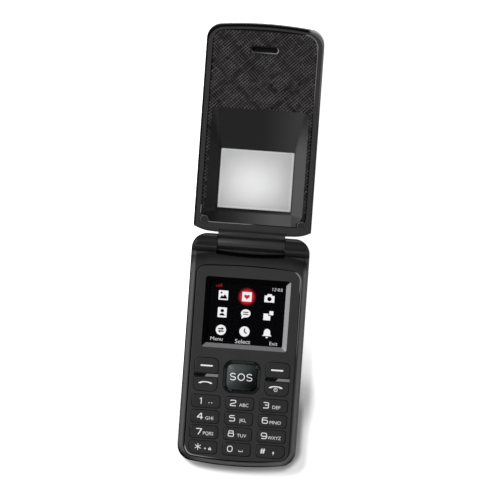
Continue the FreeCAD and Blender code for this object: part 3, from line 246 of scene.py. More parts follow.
def rounded_distance(x, y, middle, half, radius):
    """Distance outside a rounded rectangle, below zero inside it."""
    across = abs(x - middle[0]) - (half[0] - radius)
    along = abs(y - middle[1]) - (half[1] - radius)
    return distance_from(across.most(0.0), along.most(0.0)) + across.most(along).least(0.0) - radius


def bulged_distance(x, y, box, low_bulge, high_bulge, radius):
    """Distance outside an outline that fills a box and bulges at both ends by millimetres."""
    low, high = box
    spread = (x * x / (high.x * high.x)).least(1.0)
    low_end = low.y + spread * (low_bulge * MM)
    high_end = high.y - spread * (high_bulge * MM)
    return rounded_distance(x, y, (0.0, (low_end + high_end) * 0.5),
                            (high.x, (high_end - low_end) * 0.5), radius * MM)


class Graph:
    """A node tree while it is being built."""

    def __init__(self, tree):
        self.tree = tree

    def node(self, kind, inputs=None, **settings):
        """Adds a node: its settings first, then the values or wires of its sockets."""
        made = self.tree.nodes.new(kind)
        for name, value in settings.items():
            setattr(made, name, value)
        for name, value in (inputs or {}).items():
            if isinstance(value, Wire):
                self.tree.links.new(value.socket, made.inputs[name])
            else:
                made.inputs[name].default_value = value
        outputs = [socket for socket in made.outputs if socket.enabled]
        return Wire(self, outputs[0]) if outputs else None

    def math(self, operation, *values):
        return self.node("ShaderNodeMath", dict(enumerate(values)), operation=operation)


def linear(tone, scale=1.0):
    """Linear colour of a tone given in 0 to 255."""
    levels = [channel / 255 for channel in tone]
    levels = [level / 12.92 if level <= 0.04045 else ((level + 0.055) / 1.055) ** 2.4 for level in levels]
    return (*(min(level * scale, 1.0) for level in levels), 1.0)


class Finish(Graph):
    """A surface finish: one shader, and what varies over the surface worked out from its place."""

    sockets = {"ior": "IOR", "specular": "Specular IOR Level", "metallic": "Metallic",
               "roughness": "Roughness", "glow": "Emission Strength"}

    def __init__(self, name, **constants):
        self.material = bpy.data.materials.new(name)
        self.material.use_nodes = True
        super().__init__(self.material.node_tree)
        self.shader = self.tree.nodes["Principled BSDF"]
        for constant, value in constants.items():
            self.shader.inputs[self.sockets[constant]].default_value = value
        self.place = self.node("ShaderNodeTexCoord").out("Object")

    def feed(self, socket, wire):
        self.tree.links.new(wire.socket, self.shader.inputs[socket])

    def shade(self, amount):
        """Mixes in a black without gloss, for gaps, creases and edges in shadow."""
        black = self.node("ShaderNodeBsdfDiffuse", {"Color": (0.002, 0.002, 0.002, 1)})
        mixed = self.node("ShaderNodeMixShader", {0: amount, 1: Wire(self, self.shader.outputs[0]), 2: black})
        self.tree.links.new(mixed.socket, self.tree.nodes["Material Output"].inputs["Surface"])

    def on_lid(self):
        """Place measured in the lid's own plane: across, along from the hinge axis, and out of it."""
        return self.node("ShaderNodeMapping", {"Vector": self.place, "Location": (0, hinge_y, hinge_z),
                                               "Rotation": (lid_lean, 0, 0)}, vector_type="TEXTURE")

    def turned(self, vector, angle):
        return self.node("ShaderNodeMapping", {"Vector": vector, "Rotation": (0, 0, angle)})

    def grain(self, size, detail=2.0, at=None, stretch=None):
        """Noise whose clumps are about size millimetres across, before they are stretched."""
        at = at or self.place
        if stretch:
            at = self.node("ShaderNodeMapping", {"Vector": at, "Scale": stretch})
        return self.node("ShaderNodeTexNoise", {"Vector": at, "Scale": 1 / (size * MM), "Detail": detail})

    def blend(self, amount, first, second):
        """Mix of two colours, each a wire, a linear colour or a tone in 0 to 255."""
        first, second = (colour if isinstance(colour, Wire) or len(colour) == 4 else linear(colour)
                         for colour in (first, second))
        return self.node("ShaderNodeMix", {0: amount, 6: first, 7: second}, data_type="RGBA").out(2)

    def shades(self, amount, tone, low, high):
        """Mix of two shades of a tone, given as parts of it."""
        return self.blend(amount, linear(tone, low), linear(tone, high))

    def close(self, colour, roughness, relief=None, depth=0.0, strength=1.0):
        """Feeds the shader, and the relief to a bump whose depth is in millimetres."""
        self.feed("Base Color", colour)
        self.feed("Roughness", roughness)
        if relief is not None:
            self.feed("Normal", self.node("ShaderNodeBump", {"Height": relief, "Distance": depth * MM,
                                                                 "Strength": strength}))
        return self.material


def centre(box):
    low, high = box
    return (low + high) / 2


# Outlines of the pieces, as distances from them

def panel_distance(x, y):
    return bulged_distance(x, y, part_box("front_panel"), panel_end_bulge, panel_top_bulge, panel_corner)


def body_distance(x, y):
    return bulged_distance(x, y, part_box("front_housing"), body_end_bulge, 0.0, body_corner)


def insert_distance(x, y):
    return bulged_distance(x, y, lid_box("lid_insert", "window_funnel"), 0.0, insert_end_bulge, insert_corner)


def cap_distance(x, y):
    low, high = lid_box("screw_caps")
    radius = (high.y - low.y) / 2
    return distance_from(abs(x) - (high.x - radius), y - (high.y - radius)) - radius


# Marks of the moulded pieces, most of them painted highlights and painted shade: a mask, its tone or None for
# painted shade as black without gloss, and the depth of a groove

def front_marks(finish):
    """Front housing, with painted light and shade: painted shade in the panel's gap at the left and lower
    left corner and a painted highlight along it at the upper right, a painted highlight on the rim, painted
    shade in the hinge crease and on the knuckles with a painted highlight on their edge, and painted shade
    along the outer edge.
    """
    x, y, z = finish.place.split()
    from_panel = panel_distance(x, y)
    from_rim = body_distance(x, y)
    away = y - hinge_y
    on_top = z.rise(9.0, 9.8)
    left = x.rise(20.0, 10.0)
    # The panel's gap: painted shade at the left, painted highlight at the upper right
    gap = from_panel.band(-0.3, 0.36, 0.15) * on_top
    upper_right = abs(x).rise(20.0, 22.0) * (1.0 - left) * away.band(-42.0, -14.0, 8.0)
    # Painted highlight along the rim
    rim = from_rim.band(-1.75, -0.85, 0.75) * away.rise(-6.0, -12.0)
    # Painted shade along the outer edge, heaviest at the left and the foot
    outline = from_rim.rise(-0.6, -0.35) * z.rise(body_seam, 7.5)
    below = away.rise(-90.0, -94.0)
    # Painted shade in the crease and on the knuckles at the hinge, with a painted highlight on the knuckles'
    # edge
    bent = away + (abs(x) - 17.5 * MM).most(0.0) * 0.22
    crease = bent.rise(-9.3, -4.9) * bent.rise(-4.1, -4.6)
    # Painted shade at the panel's lower left corner
    corner = from_panel.rise(0.3, 0.8) * away.rise(-92.2, -94.0) * x.rise(-15.0, -21.0)
    knuckle = away.rise(-4.6, -4.2)
    knuckle_edge = away.band(2.8, 3.5, 0.3)
    return [(rim * on_top * (0.5 - left * 0.2), painted_highlight_tone),
            (gap * upper_right * 0.8, painted_highlight_tone),
            (crease * 0.75, joint_and_painted_shade_tone),
            (crease * 0.2, None),
            (knuckle_edge * 0.35, painted_highlight_tone),
            (knuckle * (0.4 - knuckle_edge * 0.35), None),
            (gap * left * 0.95, None),
            (corner * 0.6, None),
            (outline * (0.4 + left * 0.4 + below * 0.2), None)]


def lid_face_marks(finish):
    """Inner shell of the lid, with painted light and shade: painted shade on the outer edge, heaviest at the
    upper left, with a painted highlight on it at the far right; painted highlights in the gap round the
    insert at its far right and lower left and painted shade in the rest of it; painted shade round the caps;
    painted shade bands and a faint painted highlight on the barrel.
    """
    x, y, height = finish.on_lid().split()
    low, high = lid_box("lid_outer_shell")
    at_hinge = y.rise(15.0, 12.0)
    from_rim = bulged_distance(x, y, (low, high), lid_hinge_bulge, lid_end_bulge, lid_corner)
    from_rim = from_rim * (1.0 - at_hinge) + (abs(x) - high.x) * at_hinge
    on_face = height.rise(-1.6, -1.2) * y.rise(6.0, 7.0)
    # Painted shade on the outer edge, with a painted highlight at the far right corner
    outline = from_rim.rise(-0.95, -0.6) * y.rise(5.0, 7.0)
    # Gap round the insert: painted highlights at the far right and lower left, painted shade elsewhere
    gap = insert_distance(x, y).band(-0.05, 0.25, 0.15) * on_face
    far = y.rise(52.0, 76.0)
    upper_left = x.rise(20.0, 18.4)
    outer_right = x.rise(18.6, 20.4) * far
    low_left = (y.rise(10.5, 9.6) * x.rise(3.0, -3.0)).most(y.band(11.0, 16.0, 1.0) * x.rise(0.0, -1.0))
    lit_gap = (far * x.rise(16.6, 18.2) * 0.85).most(low_left * 0.95)
    cap_gap = cap_distance(x, y).band(-0.05, 0.15, 0.1)
    rest_place = finish.place.split()
    along = rest_place[1] - hinge_y
    on_barrel = abs(x).rise(15.2, 14.9) * (rest_place[2] - hinge_z).rise(0.0, 0.5)
    # Painted shade bands on the barrel, and a faint painted highlight on its neck
    channel = along.band(-2.65, -1.55, 0.4)
    neck_line = along.band(2.1, 3.0, 0.45)
    neck_light = along.band(3.5, 4.1, 0.4)
    edge_line = along.band(5.2, 5.7, 0.6)
    return [(outline * outer_right * 0.85, painted_highlight_tone),
            (gap * lit_gap, painted_edge_highlight_tone),
            (gap * (1.0 - lit_gap) * 0.9, None),
            (on_barrel * neck_light * 0.1, painted_highlight_tone),
            (cap_gap * on_face * 0.8, None),
            (outline * (0.3 + upper_left * 0.67 - outer_right * 0.25), None),
            (on_barrel * (channel * 0.85 + neck_line * 0.68 + edge_line * 0.5), None)]


def panel_marks(finish):
    """Front panel: painted highlights on its edge at two corners, and on the slope round the display painted
    shade at its left and top and painted highlights at its right and foot.
    """
    x, y, z = finish.place.split()
    panel_low, panel_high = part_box("front_panel")
    lens_low, lens_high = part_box("display_lens")
    # Painted highlight on the panel's edge at its upper right and lower left corners
    line = panel_distance(x, y).band(-0.3, 0.0, 0.15)
    top_right = x.rise(19.9, 21.2) * (y - panel_high.y).rise(-11.0, -7.5)
    low_left = x.rise(-6.0, -18.0) * (y - panel_low.y).rise(6.0, 4.0)
    lap = Vector((display_lap, display_lap, 0)) * MM
    low, high = lens_low + lap, lens_high - lap
    inside = rounded_distance(x, y, (low + high) / 2, (high - low) / 2, display_corner * MM).rise(0.04, -0.04)
    slope = inside * (z - panel_high.z).rise(0.0, -0.03)
    from_right = high.x - x
    from_bottom = y - low.y
    on_right = from_right < from_bottom.least(high.y - y)
    on_bottom = from_bottom < from_right.least(x - low.x)
    # On the slope round the display: painted shade at its left and top, painted highlights at its right and
    # foot
    return [(line * top_right.most(low_left), painted_edge_highlight_tone),
            (slope * (1.0 - on_right) * (1.0 - on_bottom), None),
            (slope * on_right, bevel_painted_highlight_tone),
            (slope * on_bottom, bevel_painted_end_highlight_tone)]


def cap_marks(finish):
    """Painted highlight round the edge of the two screw caps."""
    x, y, height = finish.on_lid().split()
    return [(cap_distance(x, y).rise(-0.35, -0.1) * 0.5, painted_highlight_tone)]


def parting_line(height, level):
    """Fine line where two shells meet."""
    return [(abs(height - level * MM).rise(0.12, 0.05), joint_and_painted_shade_tone, seam_depth)]


def body_parting(finish):
    return parting_line(finish.place.split()[2], body_seam)


def lid_parting(finish):
    return parting_line(finish.on_lid().split()[2], lid_seam)


# Finishes

def moulded(name, tone, roughness, texture, texture_depth, *markings):
    """Moulded plastic: cloudy tone and spark-eroded grain, with the marks that each marking gives."""
    finish = Finish(name, ior=1.49, specular=0.24)
    clouds = finish.grain(9.0, 3.0)
    speckle = finish.grain(texture, 3.0)
    rubbed = finish.grain(2.6, 4.0).step(0.62, 0.8)
    colour = finish.shades(clouds * 0.5 + speckle * 0.5, tone, 0.46, 0.74)
    relief = speckle
    lit = None
    # Tone marks blend painted highlights, painted shade and the dark parting line over the colour; None marks
    # paint shade as black without gloss
    for mask, mark_tone, *depth in (mark for marking in markings for mark in marking(finish)):
        if mark_tone is None:
            lit = 1.0 - mask if lit is None else lit * (1.0 - mask)
        else:
            colour = finish.blend(mask, colour, mark_tone)
        if depth:
            relief = relief - mask * (depth[0] / texture_depth)
    if lit is not None:
        finish.shade(1.0 - lit)
    rough = roughness + (clouds - 0.5) * 0.1 - rubbed * 0.05
    return finish.close(colour, rough, relief, texture_depth, 0.6)


def funnel_moulding():
    """Smooth moulding of the funnel with painted light: paler towards its right wall and along its foot, and
    a dark lip.
    """
    finish = Finish("funnel_smooth", ior=1.49, specular=0.16)
    x, y, height = finish.on_lid().split()
    high = lid_box("window_funnel")[1]
    pane_low, pane_high = lid_box("window_pane")
    clouds = finish.grain(8.0, 3.0)
    speckle = finish.grain(0.3, 2.0)
    past_pane = (y - pane_high.y).most(0.0)
    # Painted light: paler towards the right, on the right wall and along the foot, and a little on the left
    # wall
    drift = x.step(0.0, high.x) * 0.38
    wall = (x - (pane_high.x - 1.6 * MM + past_pane * 0.15)).rise(0.0, 1.0) * (x - high.x).rise(0.0, -1.0)
    left_wall = (x - (pane_low.x - past_pane * 0.12)).rise(1.4, 0.5)
    foot = (y - pane_low.y).rise(1.0, 0.0)
    foot_light = foot * (x.rise(-14.0, 14.0) * 0.85 + x.rise(-18.5, -14.0) * 0.1)
    wall_light = wall * (y.rise(60.0, 40.0) * 0.72 + 0.2) * (1.0 - foot * 0.4)
    amount = (drift + foot_light) * (1.0 - wall) + wall_light + left_wall * (1.0 - foot) * 0.15
    plain = finish.shades(clouds * 0.6 + speckle * 0.4, funnel_tone, 0.5, 1.0)
    from_edge = (abs(x) - high.x).most(y - high.y)
    on_lip = from_edge.rise(-funnel_lip - 0.05, -funnel_lip + 0.05) * (height - high.z).rise(-0.1, -0.05)
    colour = finish.blend(amount.clamp(), plain, funnel_lit_tone)
    colour = finish.blend(on_lip, colour, linear(insert_tone, 0.55))
    return finish.close(colour, 0.4 + (clouds - 0.5) * 0.1, speckle, 0.004, 0.4)


def polished(name, specular, roughness, wave_share, colour_and_painted_light):
    """Polished black plastic with faint waves and hairline scuffs, coloured by the given function, which for
    the large key's crown paints light and shade.
    """
    finish = Finish(name, ior=1.5, specular=specular)
    waves = finish.grain(3.0, 1.0)
    scuffs = finish.grain(1.4, 4.0, stretch=(1.0, 14.0, 1.0)).step(0.6, 0.75)
    rough = roughness + scuffs * 0.1 + waves * wave_share
    return finish.close(colour_and_painted_light(finish, waves), rough, waves, 0.02, 0.25)


def crown_painted_light(finish, waves):
    """The large key's crown, with painted light and shade: palest at its upper left where light is painted,
    nearly black at its lower right where shade is painted.
    """
    x, y, z = finish.place.split()
    middle = centre(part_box("sos_key"))
    slant = (x - middle.x) * 0.82 - (y - middle.y) * 0.57
    return finish.blend(slant.rise(-9.5, 7.8), crown_painted_lit_tone, crown_painted_shade_tone)


def ring_tint(finish, waves):
    return finish.shades(waves, ring_tone, 0.7, 1.1)


def ink(name, tone):
    """Printed ink, a little thinner in places."""
    finish = Finish(name, ior=1.45, specular=0.3)
    thin = finish.grain(0.4, 3.0).step(0.6, 0.8)
    colour = finish.shades(thin, tone, 1.0, 0.86)
    return finish.close(colour, 0.5 + thin * 0.15, finish.grain(0.12), 0.004, 0.3)


def pixel_gap(finish):
    """0 on the dark lines between the display's picture elements, 1 on the elements."""
    x, y, z = finish.place.split()
    return x.wave(pixel_pitch).least(y.wave(pixel_pitch)).step(0.0, 0.24)


def glowing(name, tone, halo=None):
    """Lit picture elements of the screen, which fade from a place if one is given."""
    finish = Finish(name, ior=1.45, specular=0.0, glow=1.0)
    lit = pixel_gap(finish)
    colour = finish.shades(lit, tone, 0.78, 1.0)
    if halo:
        x, y, z = finish.place.split()
        fade = distance_from(x - halo[0], y - halo[1]).rise(2.3, 4.1)
        colour = finish.blend(fade, colour, linear(tone, 0.04))
    finish.feed("Emission Color", colour)
    return finish.close(finish.shades(lit, tone, 0.02, 0.04), 0.5 + lit * 0.1)


def dark_screen():
    finish = Finish("screen_black", ior=1.45, specular=0.0)
    lit = pixel_gap(finish)
    return finish.close(finish.blend(lit, (1, 1, 2), (5, 5, 7)), 0.5 + lit * 0.1)


def clear_lens(name):
    """Hard-coated clear lens that only glints at a slant, with a few faint wiping marks."""
    finish = Finish(name, ior=1.45, specular=0.5)
    wiping = finish.grain(9.0, 3.0, finish.turned(finish.place, 0.6))
    slant = finish.node("ShaderNodeLayerWeight", {"Blend": 0.25}).out("Facing")
    finish.feed("Alpha", (0.04 + slant * 0.6).clamp())
    colour = finish.blend(wiping, (0.01, 0.01, 0.012, 1), (0.02, 0.02, 0.022, 1))
    return finish.close(colour, 0.05 + wiping.step(0.55, 0.8) * 0.05)


def frosted_pane():
    """Milky window of the lid, with painted light: palest in the middle and darker towards its edges, with a
    light edge where it is bonded.
    """
    finish = Finish("pane_frosted", ior=1.46, specular=0.3)
    low, high = lid_box("window_pane")
    middle, half = (low + high) / 2, (high - low) / 2
    x, y, z = finish.on_lid().split()
    # Painted light, palest in the middle of the pane
    spread = distance_from((x + 1.0 * MM) / half.x, (y - middle.y + 1.5 * MM) / half.y).step(0.0, 1.15)
    mottle = finish.grain(4.0, 3.0)
    bond = (half.x - pane_bond * MM, half.y - pane_bond * MM)
    border = rounded_distance(x, y, (0.0, middle.y), bond, 0.4 * MM).band(-0.8, -0.45, 0.12)
    shade = (spread + (mottle - 0.5) * 0.08 - border * 0.35).clamp()
    finish.feed("Alpha", 0.66 + spread * 0.1)
    colour = finish.blend(shade, pane_middle_tone, pane_edge_tone)
    return finish.close(colour, 0.35 + mottle * 0.15, finish.grain(0.25), 0.01, 0.3)


def between_stripes(x, y):
    """1 in the squares of the insert's texture, 0 in the dark slanted stripes that cross between them."""
    up = y - centre(lid_box("lid_insert")).y
    turn = math.sqrt(0.5)
    across = (x + up) * turn - stripe_across * MM
    along = (up - x) * turn - stripe_along * MM
    fainter = along.fold(stripe_pitch).rise(stripe_pitch * 0.4, stripe_pitch * 0.6)
    first = across.fold(stripe_pitch / 2).rise(1.6, 0.3)
    second = along.fold(stripe_pitch / 2).rise(1.8, 0.4) * (1.0 - fainter * 0.6)
    spot = x.graph.node("ShaderNodeCombineXYZ", {0: across, 1: along})
    uneven = x.graph.node("ShaderNodeTexNoise", {"Vector": spot, "Scale": 1 / (4.5 * MM), "Detail": 2.0})
    return 1.0 - first.most(second) * (0.3 + uneven.step(0.38, 0.62) * 0.6)


def crosshatch_ground():
    """Ground of the textured insert: dark grained leathercloth; painted shade on the earpiece slot's bevel
    with a painted highlight on its lower and right side, and painted shade along the insert's edge with a
    painted highlight at its far right corner.
    """
    finish = Finish("insert_ground", ior=1.45, specular=0.2)
    level = finish.on_lid()
    x, y, z = level.split()
    u, v, w = finish.turned(level, math.radians(45)).split()
    weave = u.wave(0.5) * 0.5 + v.wave(0.5) * 0.5
    patch = finish.grain(5.0).step(0.35, 0.65)
    tone = (weave * 0.5 + patch * 0.4 + 0.1) * (0.4 + between_stripes(x, y) * 0.6)
    up = y - centre(lid_box("earpiece_mesh")).y
    slot_radius = slot_half_width * MM
    outside = rounded_distance(x, up, (0.0, 0.0), (slot_half_length * MM, slot_radius), slot_radius)
    # Painted highlight on the slot's bevel, brighter towards the right
    lip = outside.band(0.32, 0.62, 0.12) * (0.22 + x.rise(-4.0, 5.5) * 0.5)
    lit_side = up.rise(-0.2, -0.7).most(x.rise(5.0, 5.8))
    # Painted shade along the insert's edge, painted highlight at its far right corner
    edge = insert_distance(x, y).rise(-0.35, -0.2)
    corner = x.rise(16.6, 18.2) * (y - lid_box("lid_insert", "window_funnel")[1].y).rise(-9.0, -6.5)
    colour = finish.shades(tone, insert_tone, 0.3, 0.95)
    for mask, mark_tone in ((outside.rise(0.75, 0.6), joint_and_painted_shade_tone), (lip * lit_side, painted_edge_highlight_tone),
                            (edge * corner * 0.55, painted_edge_highlight_tone)):
        colour = finish.blend(mask, colour, mark_tone)
    finish.shade(edge * (1.0 - corner) * 0.8)
    return finish.close(colour, 0.55 + weave * 0.15, weave, 0.05, 0.6)


def raised_thread():
    finish = Finish("insert_thread", ior=1.45, specular=0.25)
    worn = finish.grain(2.2, 4.0).step(0.3, 0.7)
    fibre = finish.grain(0.2)
    x, y, height = finish.on_lid().split()
    amount = (0.3 + worn * 0.7) * (0.3 + between_stripes(x, y) * 0.7)
    colour = finish.shades(amount, thread_tone, 0.15, 1.0)
    return finish.close(colour, 0.42 + fibre * 0.2, fibre, 0.02, 0.5)


def brushed_metal(name, tone, roughness):
    finish = Finish(name, metallic=1.0)
    brushing = finish.grain(0.8, 4.0, stretch=(1.0, 22.0, 1.0))
    colour = finish.shades(brushing, tone, 0.8, 1.0)
    return finish.close(colour, roughness + brushing * 0.12, brushing, 0.01, 0.3)


def painted_light_bar():
    """Bar between the keys: gloss black at its left as painted shade, silver at its right as painted light,
    with a slanted join.
    """
    finish = Finish("bar_two_tone", ior=1.5, specular=0.12)
    x, y, z = finish.place.split()
    own_x = x - finish.math("SIGN", x) * centre(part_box("soft_key_right")).x
    silver = (own_x - (y - centre(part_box("key_bars")).y) * 0.9 + 0.15 * MM).rise(-0.08, 0.08)
    waves = finish.grain(2.0)
    black = finish.blend(waves, (3, 3, 3), (8, 8, 8))
    bright = finish.blend(waves, (112, 112, 113), (128, 128, 129))
    return finish.close(finish.blend(silver, black, bright), 0.22 + waves * 0.08, waves, 0.01, 0.3)


def circuit_board():
    """Solder mask with traces running under it."""
    finish = Finish("board_mask", ior=1.5)
    trace = finish.node("ShaderNodeTexBrick", {
        "Vector": finish.place, "Scale": 260.0, "Mortar Size": 0.02, "Mortar": linear((50, 110, 70)),
        "Color1": linear((16, 52, 34)), "Color2": linear((18, 60, 40))}, offset=0.3)
    return finish.close(trace, 0.35 + finish.grain(1.0) * 0.15, trace, 0.02, 0.3)


def soft_rubber():
    finish = Finish("rubber_grey", ior=1.42, specular=0.3)
    cloud = finish.grain(2.0, 3.0)
    colour = finish.blend(cloud, (120, 122, 124), (142, 144, 146))
    return finish.close(colour, 0.6 + cloud * 0.15, finish.grain(0.2), 0.02, 0.4)


def battery_wrap():
    """Grey wrap with a darker band at one end."""
    finish = Finish("battery_wrap", ior=1.46)
    end = (finish.place.split()[1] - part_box("battery_pack")[1].y).rise(-6.0, -5.6)
    cloud = finish.grain(5.0, 3.0)
    wrap = finish.blend(cloud, (52, 54, 60), (64, 66, 72))
    return finish.close(finish.blend(end, wrap, (24, 24, 26)), 0.32 + cloud * 0.15, cloud, 0.05, 0.2)


def flat_cable():
    """Polyimide strip with copper tracks showing through."""
    finish = Finish("flex_polyimide", ior=1.6)
    track = finish.place.split()[0].wave(0.36).step(0.4, 0.6)
    colour = finish.blend(track, (96, 52, 18), (158, 92, 36))
    return finish.close(colour, 0.3 + track * 0.1, track, 0.01, 0.4)


def jack_finish():
    """Black socket body whose nose is plated metal."""
    finish = Finish("jack_body", ior=1.5)
    nose = (finish.place.split()[0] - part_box("headphone_jack")[0].x).rise(0.6, 0.5)
    cloud = finish.grain(0.6, 3.0)
    finish.feed("Metallic", nose)
    plastic = finish.blend(cloud, (14, 14, 15), (24, 24, 25))
    return finish.close(finish.blend(nose, plastic, (196, 190, 176)), 0.3 + cloud * 0.1)


# Geometry helpers

def lid_box(*nodes):
    """Lowest and highest corner of one or more nodes at rest, measured in the lid's own plane."""
    back = LID.inverted()
    places = [back @ vertex.co for node in nodes for vertex in frame["nodes"][node].data.vertices]
    return tuple(Vector([pick(place[axis] for place in places) for axis in range(3)]) for pick in (min, max))


def put(name, data):
    """Object of the given data, in the scene."""
    made = bpy.data.objects.new(name, data)
    bpy.context.scene.collection.objects.link(made)
    return made


def add_piece(name, mesh, body, material, matrix=None):
    """Puts a mesh in the scene as a piece that rides on a body."""
    if matrix is not None:
        mesh.transform(matrix)
    if material is not None:
        mesh.materials.clear()
        mesh.materials.append(material)
    piece = put(name, mesh)
    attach(piece, body)
    return piece


def mesh_from(made):
    """Mesh of a short-lived object, with its modifiers worked out."""
    bpy.context.view_layer.update()
    evaluated = made.evaluated_get(bpy.context.evaluated_depsgraph_get())
    mesh = bpy.data.meshes.new_from_object(evaluated)
    data = made.data
    bpy.data.objects.remove(made)
    if data.users == 0 and isinstance(data, bpy.types.Curve):
        bpy.data.curves.remove(data)
    return mesh


def mesh_of(name, shape):
    """Mesh of a bmesh, which is freed."""
    mesh = bpy.data.meshes.new(name)
    shape.to_mesh(mesh)
    shape.free()
    return mesh


def thicken(mesh, thickness):
    """Closed body between the level that a flat mesh lies on and its face, lifted by thickness."""
    flat = bmesh.new()
    flat.from_mesh(mesh)
    bmesh.ops.remove_doubles(flat, verts=flat.verts, dist=1e-7)
    bmesh.ops.dissolve_degenerate(flat, edges=flat.edges, dist=1e-7)
    body = bmesh.new()
    low = {vertex: body.verts.new(vertex.co) for vertex in flat.verts}
    high = {vertex: body.verts.new(vertex.co + Vector((0, 0, thickness))) for vertex in flat.verts}
    for face in flat.faces:
        if face.normal.z < 0:
            face.normal_flip()
        body.faces.new([high[vertex] for vertex in face.verts])
        body.faces.new([low[vertex] for vertex in reversed(face.verts)])
        for corner in face.loops:
            if corner.edge.is_boundary:
                first, after = corner.vert, corner.link_loop_next.vert
                body.faces.new((low[first], low[after], high[after], high[first]))
    body.to_mesh(mesh)
    flat.free()
    body.free()
    return mesh


def lettering(words, height, thickness, stretch=1.0):
    """Flat lettering, centred on the origin, as tall as height."""
    text = bpy.data.curves.new("lettering", "FONT")
    text.body = words
    text.size = 1.0
    text.align_x = "CENTER"
    text.resolution_u = 4
    mesh = mesh_from(put("lettering", text))
    across = [vertex.co.x for vertex in mesh.vertices]
    scale = height / 0.7
    middle = Vector(((min(across) + max(across)) / 2, 0.35, 0))
    mesh.transform(Matrix.Diagonal((scale * stretch, scale, 1, 1)) @ Matrix.Translation(-middle))
    return thicken(mesh, thickness)


def outline_mesh(loops, thickness):
    """Flat shape bounded by closed loops of points: a loop inside another is a hole."""
    curve = bpy.data.curves.new("outline", "CURVE")
    curve.dimensions = "2D"
    curve.fill_mode = "BOTH"
    for loop in loops:
        spline = curve.splines.new("POLY")
        spline.points.add(len(loop) - 1)
        for point, (x, y) in zip(spline.points, loop):
            point.co = (x, y, 0, 1)
        spline.use_cyclic_u = True
    return thicken(mesh_from(put("outline", curve)), thickness)


def join_meshes(name, parts, materials=()):
    """One mesh of several, each with the matrix that places it and the number of its material."""
    shape = bmesh.new()
    for mesh, matrix, slot_number in parts:
        placed = mesh.copy()
        placed.transform(matrix)
        for face in placed.polygons:
            face.material_index = slot_number
        shape.from_mesh(placed)
        bpy.data.meshes.remove(placed)
    whole = mesh_of(name, shape)
    for material in materials:
        whole.materials.append(material)
    return whole


def lift(x, y, z):
    return Matrix.Translation((x, y, z))


# Flat outlines

def arc(x, y, radius_x, radius_y, start, end, count):
    """Points on an ellipse about (x, y), from one angle to another in degrees."""
    angles = (math.radians(start + (end - start) * step / count) for step in range(count + 1))
    return [(x + radius_x * math.cos(angle), y + radius_y * math.sin(angle)) for angle in angles]


def circle(x, y, radius, count=40, squeeze=1.0):
    return arc(x, y, radius, radius * squeeze, 0, 360, count)[:-1]


def rounded(x, y, width, height, radius, count=6):
    """Closed loop of a rounded rectangle about (x, y)."""
    loop = []
    for side_x, side_y, start in ((1, 1, 0), (-1, 1, 90), (-1, -1, 180), (1, -1, 270)):
        loop += arc(x + side_x * (width / 2 - radius), y + side_y * (height / 2 - radius),
                    radius, radius, start, start + 90, count)
    return loop


def scaled(loops, size, x=0, y=0):
    """Loops drawn about the origin on a unit, at their size and place."""
    return [[(x + px * size, y + py * size) for px, py in loop] for loop in loops]


def softened(points, radius, closed=False):
    """Path through the points with its corners rounded."""
    path = []
    count = len(points)
    for index, point in enumerate(points):
        here = Vector(point)
        if radius == 0 or (not closed and index in (0, count - 1)):
            path.append(here)
            continue
        before = Vector(points[index - 1]) - here
        after = Vector(points[(index + 1) % count]) - here
        cut = min(radius, before.length * 0.48, after.length * 0.48)
        start = here + before.normalized() * cut
        end = here + after.normalized() * cut
        path += [start * (1 - t) ** 2 + here * 2 * t * (1 - t) + end * t ** 2
                 for t in (step / 6 for step in range(7))]
    return path


def beside(path, distance, closed=False):
    """The path moved sideways by a distance, to its left if that is above zero."""
    moved = []
    count = len(path)
    for index, point in enumerate(path):
        joins = []
        if closed or index > 0:
            joins.append((point - path[index - 1]).normalized())
        if closed or index < count - 1:
            joins.append((path[(index + 1) % count] - point).normalized())
        side = sum((Vector((-join.y, join.x)) for join in joins), Vector((0, 0)))
        moved.append(tuple(point + side * (distance * len(joins) / side.length_squared)))
    return moved


def stroke(points, width, radius=0.0, closed=False):
    """Loops that bound a stroke of the given width along the points."""
    path = softened(points, radius, closed)
    if closed:
        return [beside(path, width / 2, True), beside(path, -width / 2, True)]
    return [beside(path, width / 2) + beside(path, -width / 2)[::-1]]


# Figures, in a box one unit wide and high: strokes (points, corner radius, True if closed) and outlines
figure_strokes = {
    "0": [([(0.06, 0), (0.94, 0), (0.94, 1), (0.06, 1)], 0.42, True)],
    "1": [([(0.24, 0.82), (0.54, 0.98)], 0), ([(0.54, 1.08), (0.54, -0.08)], 0)],
    "2": [([(0.02, 0.84), (0.1, 1), (1, 1), (1, 0.56), (0, 0.3), (0, 0), (1.05, 0)], 0.26)],
    "3": [([(0.02, 1), (1, 1), (0.94, 0.52), (1, 0), (0, 0)], 0.3), ([(0.3, 0.53), (0.82, 0.53)], 0)],
    "5": [([(0.95, 1), (0.06, 1), (0.03, 0.57), (1, 0.6), (1, 0), (0, 0)], 0.24)],
    "6": [([(0.94, 1), (0, 1), (0, 0), (1, 0), (1, 0.58), (0.4, 0.58)], 0.3),
          ([(0.5, 0.58), (0.05, 0.58)], 0)],
    "8": [([(0, 0), (1, 0), (1, 0.55), (0, 0.55)], 0.22, True),
          ([(0.09, 0.6), (0.09, 1), (0.91, 1), (0.91, 0.6)], 0.22)],
    "9": [([(0.06, 0), (1, 0), (1, 1), (0, 1), (0, 0.42), (0.6, 0.42)], 0.3),
          ([(0.5, 0.42), (0.95, 0.42)], 0)],
    "#": [([(0.2, 0.02), (0.36, 0.98)], 0), ([(0.6, 0.02), (0.76, 0.98)], 0),
          ([(0.02, 0.33), (0.88, 0.33)], 0), ([(0.08, 0.67), (0.94, 0.67)], 0)],
}
